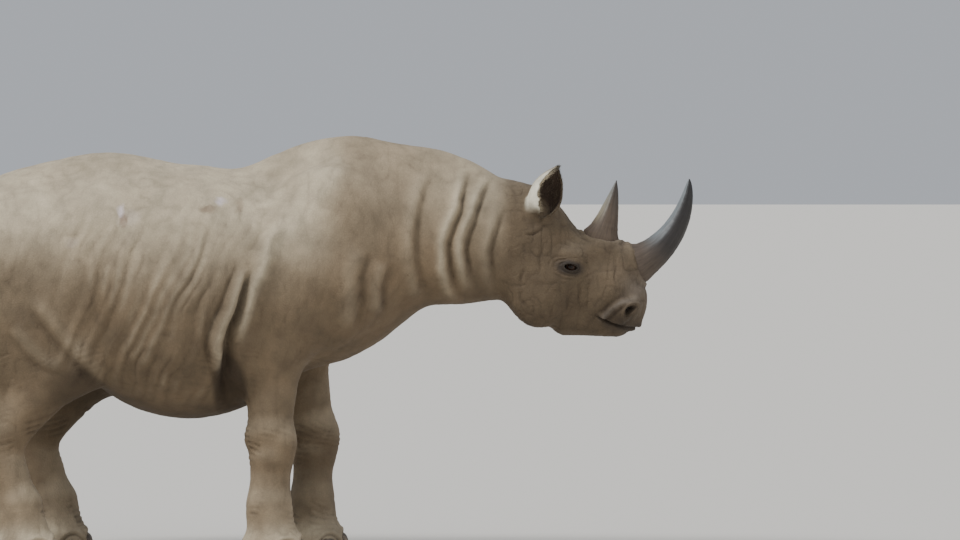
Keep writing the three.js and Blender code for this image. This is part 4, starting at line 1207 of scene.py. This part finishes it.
tassel = dict(count=1300, start=0.56, allRound=0.93, length=(70, 150), wide=1.3, sunk=0.8)
hairs = []
for n in range(tassel["count"]):
    u = tassel["start"] + (1 - tassel["start"]) * rng.random() ** 0.8
    edge = 0 if rng.random() < 0.5 else math.pi  # two rows, on the front and rear edges
    turn = edge + rng.normal() * 0.42
    if u > tassel["allRound"]:
        turn = rng.random() * 2 * math.pi
    radius = float(tailRadius(u)) * tassel["sunk"]
    root = tailAt(u)[0] + (math.cos(turn) * radius, math.sin(turn) * radius * 0.9, 0)
    way = (math.cos(turn) * 0.45 + rng.normal() * 0.07, math.sin(turn) * 0.4 + rng.normal() * 0.07,
           -0.8 - 0.25 * u)
    length = rng.uniform(*tassel["length"]) * (0.72 + 0.35 * (u - tassel["start"]) / 0.45)
    droop = (-math.cos(turn) * 0.2, -math.sin(turn) * 0.18, -0.25)
    hairs.append((root, way, droop, length, tassel["wide"] * rng.uniform(0.7, 1.2),
                  0.05 + 0.12 * rng.random(),
                  (0.05 + 0.9 * u, 0.05 + 0.9 * (turn % math.tau) / math.tau)))
hairPiece("tail_bristles", hairs)

fringe = dict(count=1900, length=(7, 19), wide=0.5, sunk=6)
innerHair = dict(count=320, length=(12, 26), wide=0.6, span=(0.3, 0.85), spread=0.85)


def earPoint(u, turn, side, inset=0.5):  # a point of the cup: share up the ear, angle in degrees
    radius, _, off = earShape(u)
    wall = min(ear["wall"], float(radius) * 0.5)
    at = float(radius) - wall * inset
    along = -ear["root"] + u * (ear["length"] + ear["root"])
    p = (np.array(ear["base"]) + earAlong * along + earOpening * float(off)
         - earOpening * math.cos(math.radians(turn)) * at
         + earAcross * math.sin(math.radians(turn)) * at)
    return p * (1, side, 1)


for side, name in ((-1, "right"), (1, "left")):
    hairs = []
    for n in range(fringe["count"]):
        u = 0.3 + 0.7 * rng.random() ** 0.7
        edge = 1 if rng.random() < 0.5 else -1
        half = float(np.degrees(earShape(u)[1]))
        turn = edge * (half - fringe["sunk"] + rng.normal() * 2)
        root = earPoint(u, turn, side)
        ahead = earPoint(min(1, u + 0.02), turn, side) - root
        outward = earPoint(u, turn + edge * 8, side) - root
        way = (outward / max(np.linalg.norm(outward), 1e-6) * 0.9
               + ahead / max(np.linalg.norm(ahead), 1e-6) * 0.75 + rng.normal(size=3) * 0.16)
        length = rng.uniform(*fringe["length"]) * (0.7 + 0.5 * u)
        # hairs on the back edge of the ear are paler, partly as a painted highlight on that side
        light = (0.85 if edge < 0 else 0.45) * (1 - 0.75 * rise(u, 0.8, 0.97)) + rng.normal() * 0.08
        hairs.append((root, way, rng.normal(size=3) * 0.1, length,
                      fringe["wide"] * rng.uniform(0.7, 1.2), light,
                      (0.05 + 0.9 * u, 0.5 + edge * 0.4 + rng.normal() * 0.01)))
    for n in range(innerHair["count"]):  # longer, sparse hair inside the cup
        u = rng.uniform(*innerHair["span"])
        half = float(np.degrees(earShape(u)[1]))
        turn = rng.uniform(-innerHair["spread"], innerHair["spread"]) * half
        root = earPoint(u, turn, side, 0.95)
        inward = earPoint(u, turn, side, 2.2) - root
        way = inward / np.linalg.norm(inward) * 0.5 + earAlong * (1, side, 1) * 0.9
        hairs.append((root, way + rng.normal(size=3) * 0.15, rng.normal(size=3) * 0.1,
                      rng.uniform(*innerHair["length"]), innerHair["wide"],
                      rng.uniform(0.15, 0.5),
                      (0.05 + 0.9 * u, 0.5 + 0.3 * turn / half)))
    hairPiece("ear_fringe_" + name, hairs)

lashes = dict(count=46, length=(9, 15), wide=0.7, out=20.5, over=1.5)
for name, side in (("right", -1), ("left", 1)):
    low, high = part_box("eye_" + name)
    centre = toBody(np.array((low + high) / 2))
    turn = math.radians(eye["tilt"])
    hairs = []
    for n in range(lashes["count"]):
        t = rng.uniform(-0.95, 0.95)
        ex = t * eye["long"] * 1.05
        ez = math.sqrt(1 - t * t) * eye["high"] + lashes["over"]
        root = centre + (ex * math.cos(turn) - ez * math.sin(turn), side * lashes["out"],
                         ez * math.cos(turn) + ex * math.sin(turn))
        way = (t * 0.5 + rng.normal() * 0.08, side, -0.35 + rng.normal() * 0.1)
        hairs.append((root, way, (0, 0, -0.25), rng.uniform(*lashes["length"]),
                      lashes["wide"], 0.05, (0.5 + 0.4 * t, 0.5 + 0.3 * side)))
    hairPiece("lashes_" + name, hairs)
print("hair made")

# floor, light and camera

studio = dict(floor="#dedad2", room="#dfe4ec", roomStrength=0.62, key=2.6, keySoft=24,
              fill=0.5, fillSoft=60)

bpy.ops.mesh.primitive_plane_add(size=400, location=(0, 0, 0))
floor = newPiece("floor")
floorMaterial, tree, shader = newMaterial("matt studio floor", 0.9)
shader.inputs["Base Color"].default_value = colourOf(studio["floor"])
floor.data.materials.append(floorMaterial)

for name, place, strength, soft in (("key light", (-5, -4, 7.5), studio["key"], studio["keySoft"]),
                                    ("fill light", (6, -4, 3.5), studio["fill"],
                                     studio["fillSoft"])):
    light = bpy.data.lights.new(name, "SUN")
    light.energy, light.angle = strength, math.radians(soft)
    lamp = linked(name, light)
    lamp.location = place
    lamp.rotation_euler = (-Vector(place)).to_track_quat("-Z", "Y").to_euler()

world = bpy.data.worlds.new("soft room")
bpy.context.scene.world = world
world.use_nodes = True
backdrop = world.node_tree.nodes["Background"]
backdrop.inputs["Color"].default_value = colourOf(studio["room"])
backdrop.inputs["Strength"].default_value = studio["roomStrength"]

cameraAt = dict(x=0.716, z=1.075, away=25, raised=1, lens=248)
cam = bpy.data.cameras.new("camera")
cam.lens, cam.sensor_width, cam.clip_end = cameraAt["lens"], 36, 200
camera = linked("camera", cam)
camera.location = (cameraAt["x"], -cameraAt["away"],
                   cameraAt["z"] + cameraAt["away"] * math.tan(math.radians(cameraAt["raised"])))
camera.rotation_euler = (math.radians(90 - cameraAt["raised"]), 0, 0)
bpy.context.scene.camera = camera

print("done")
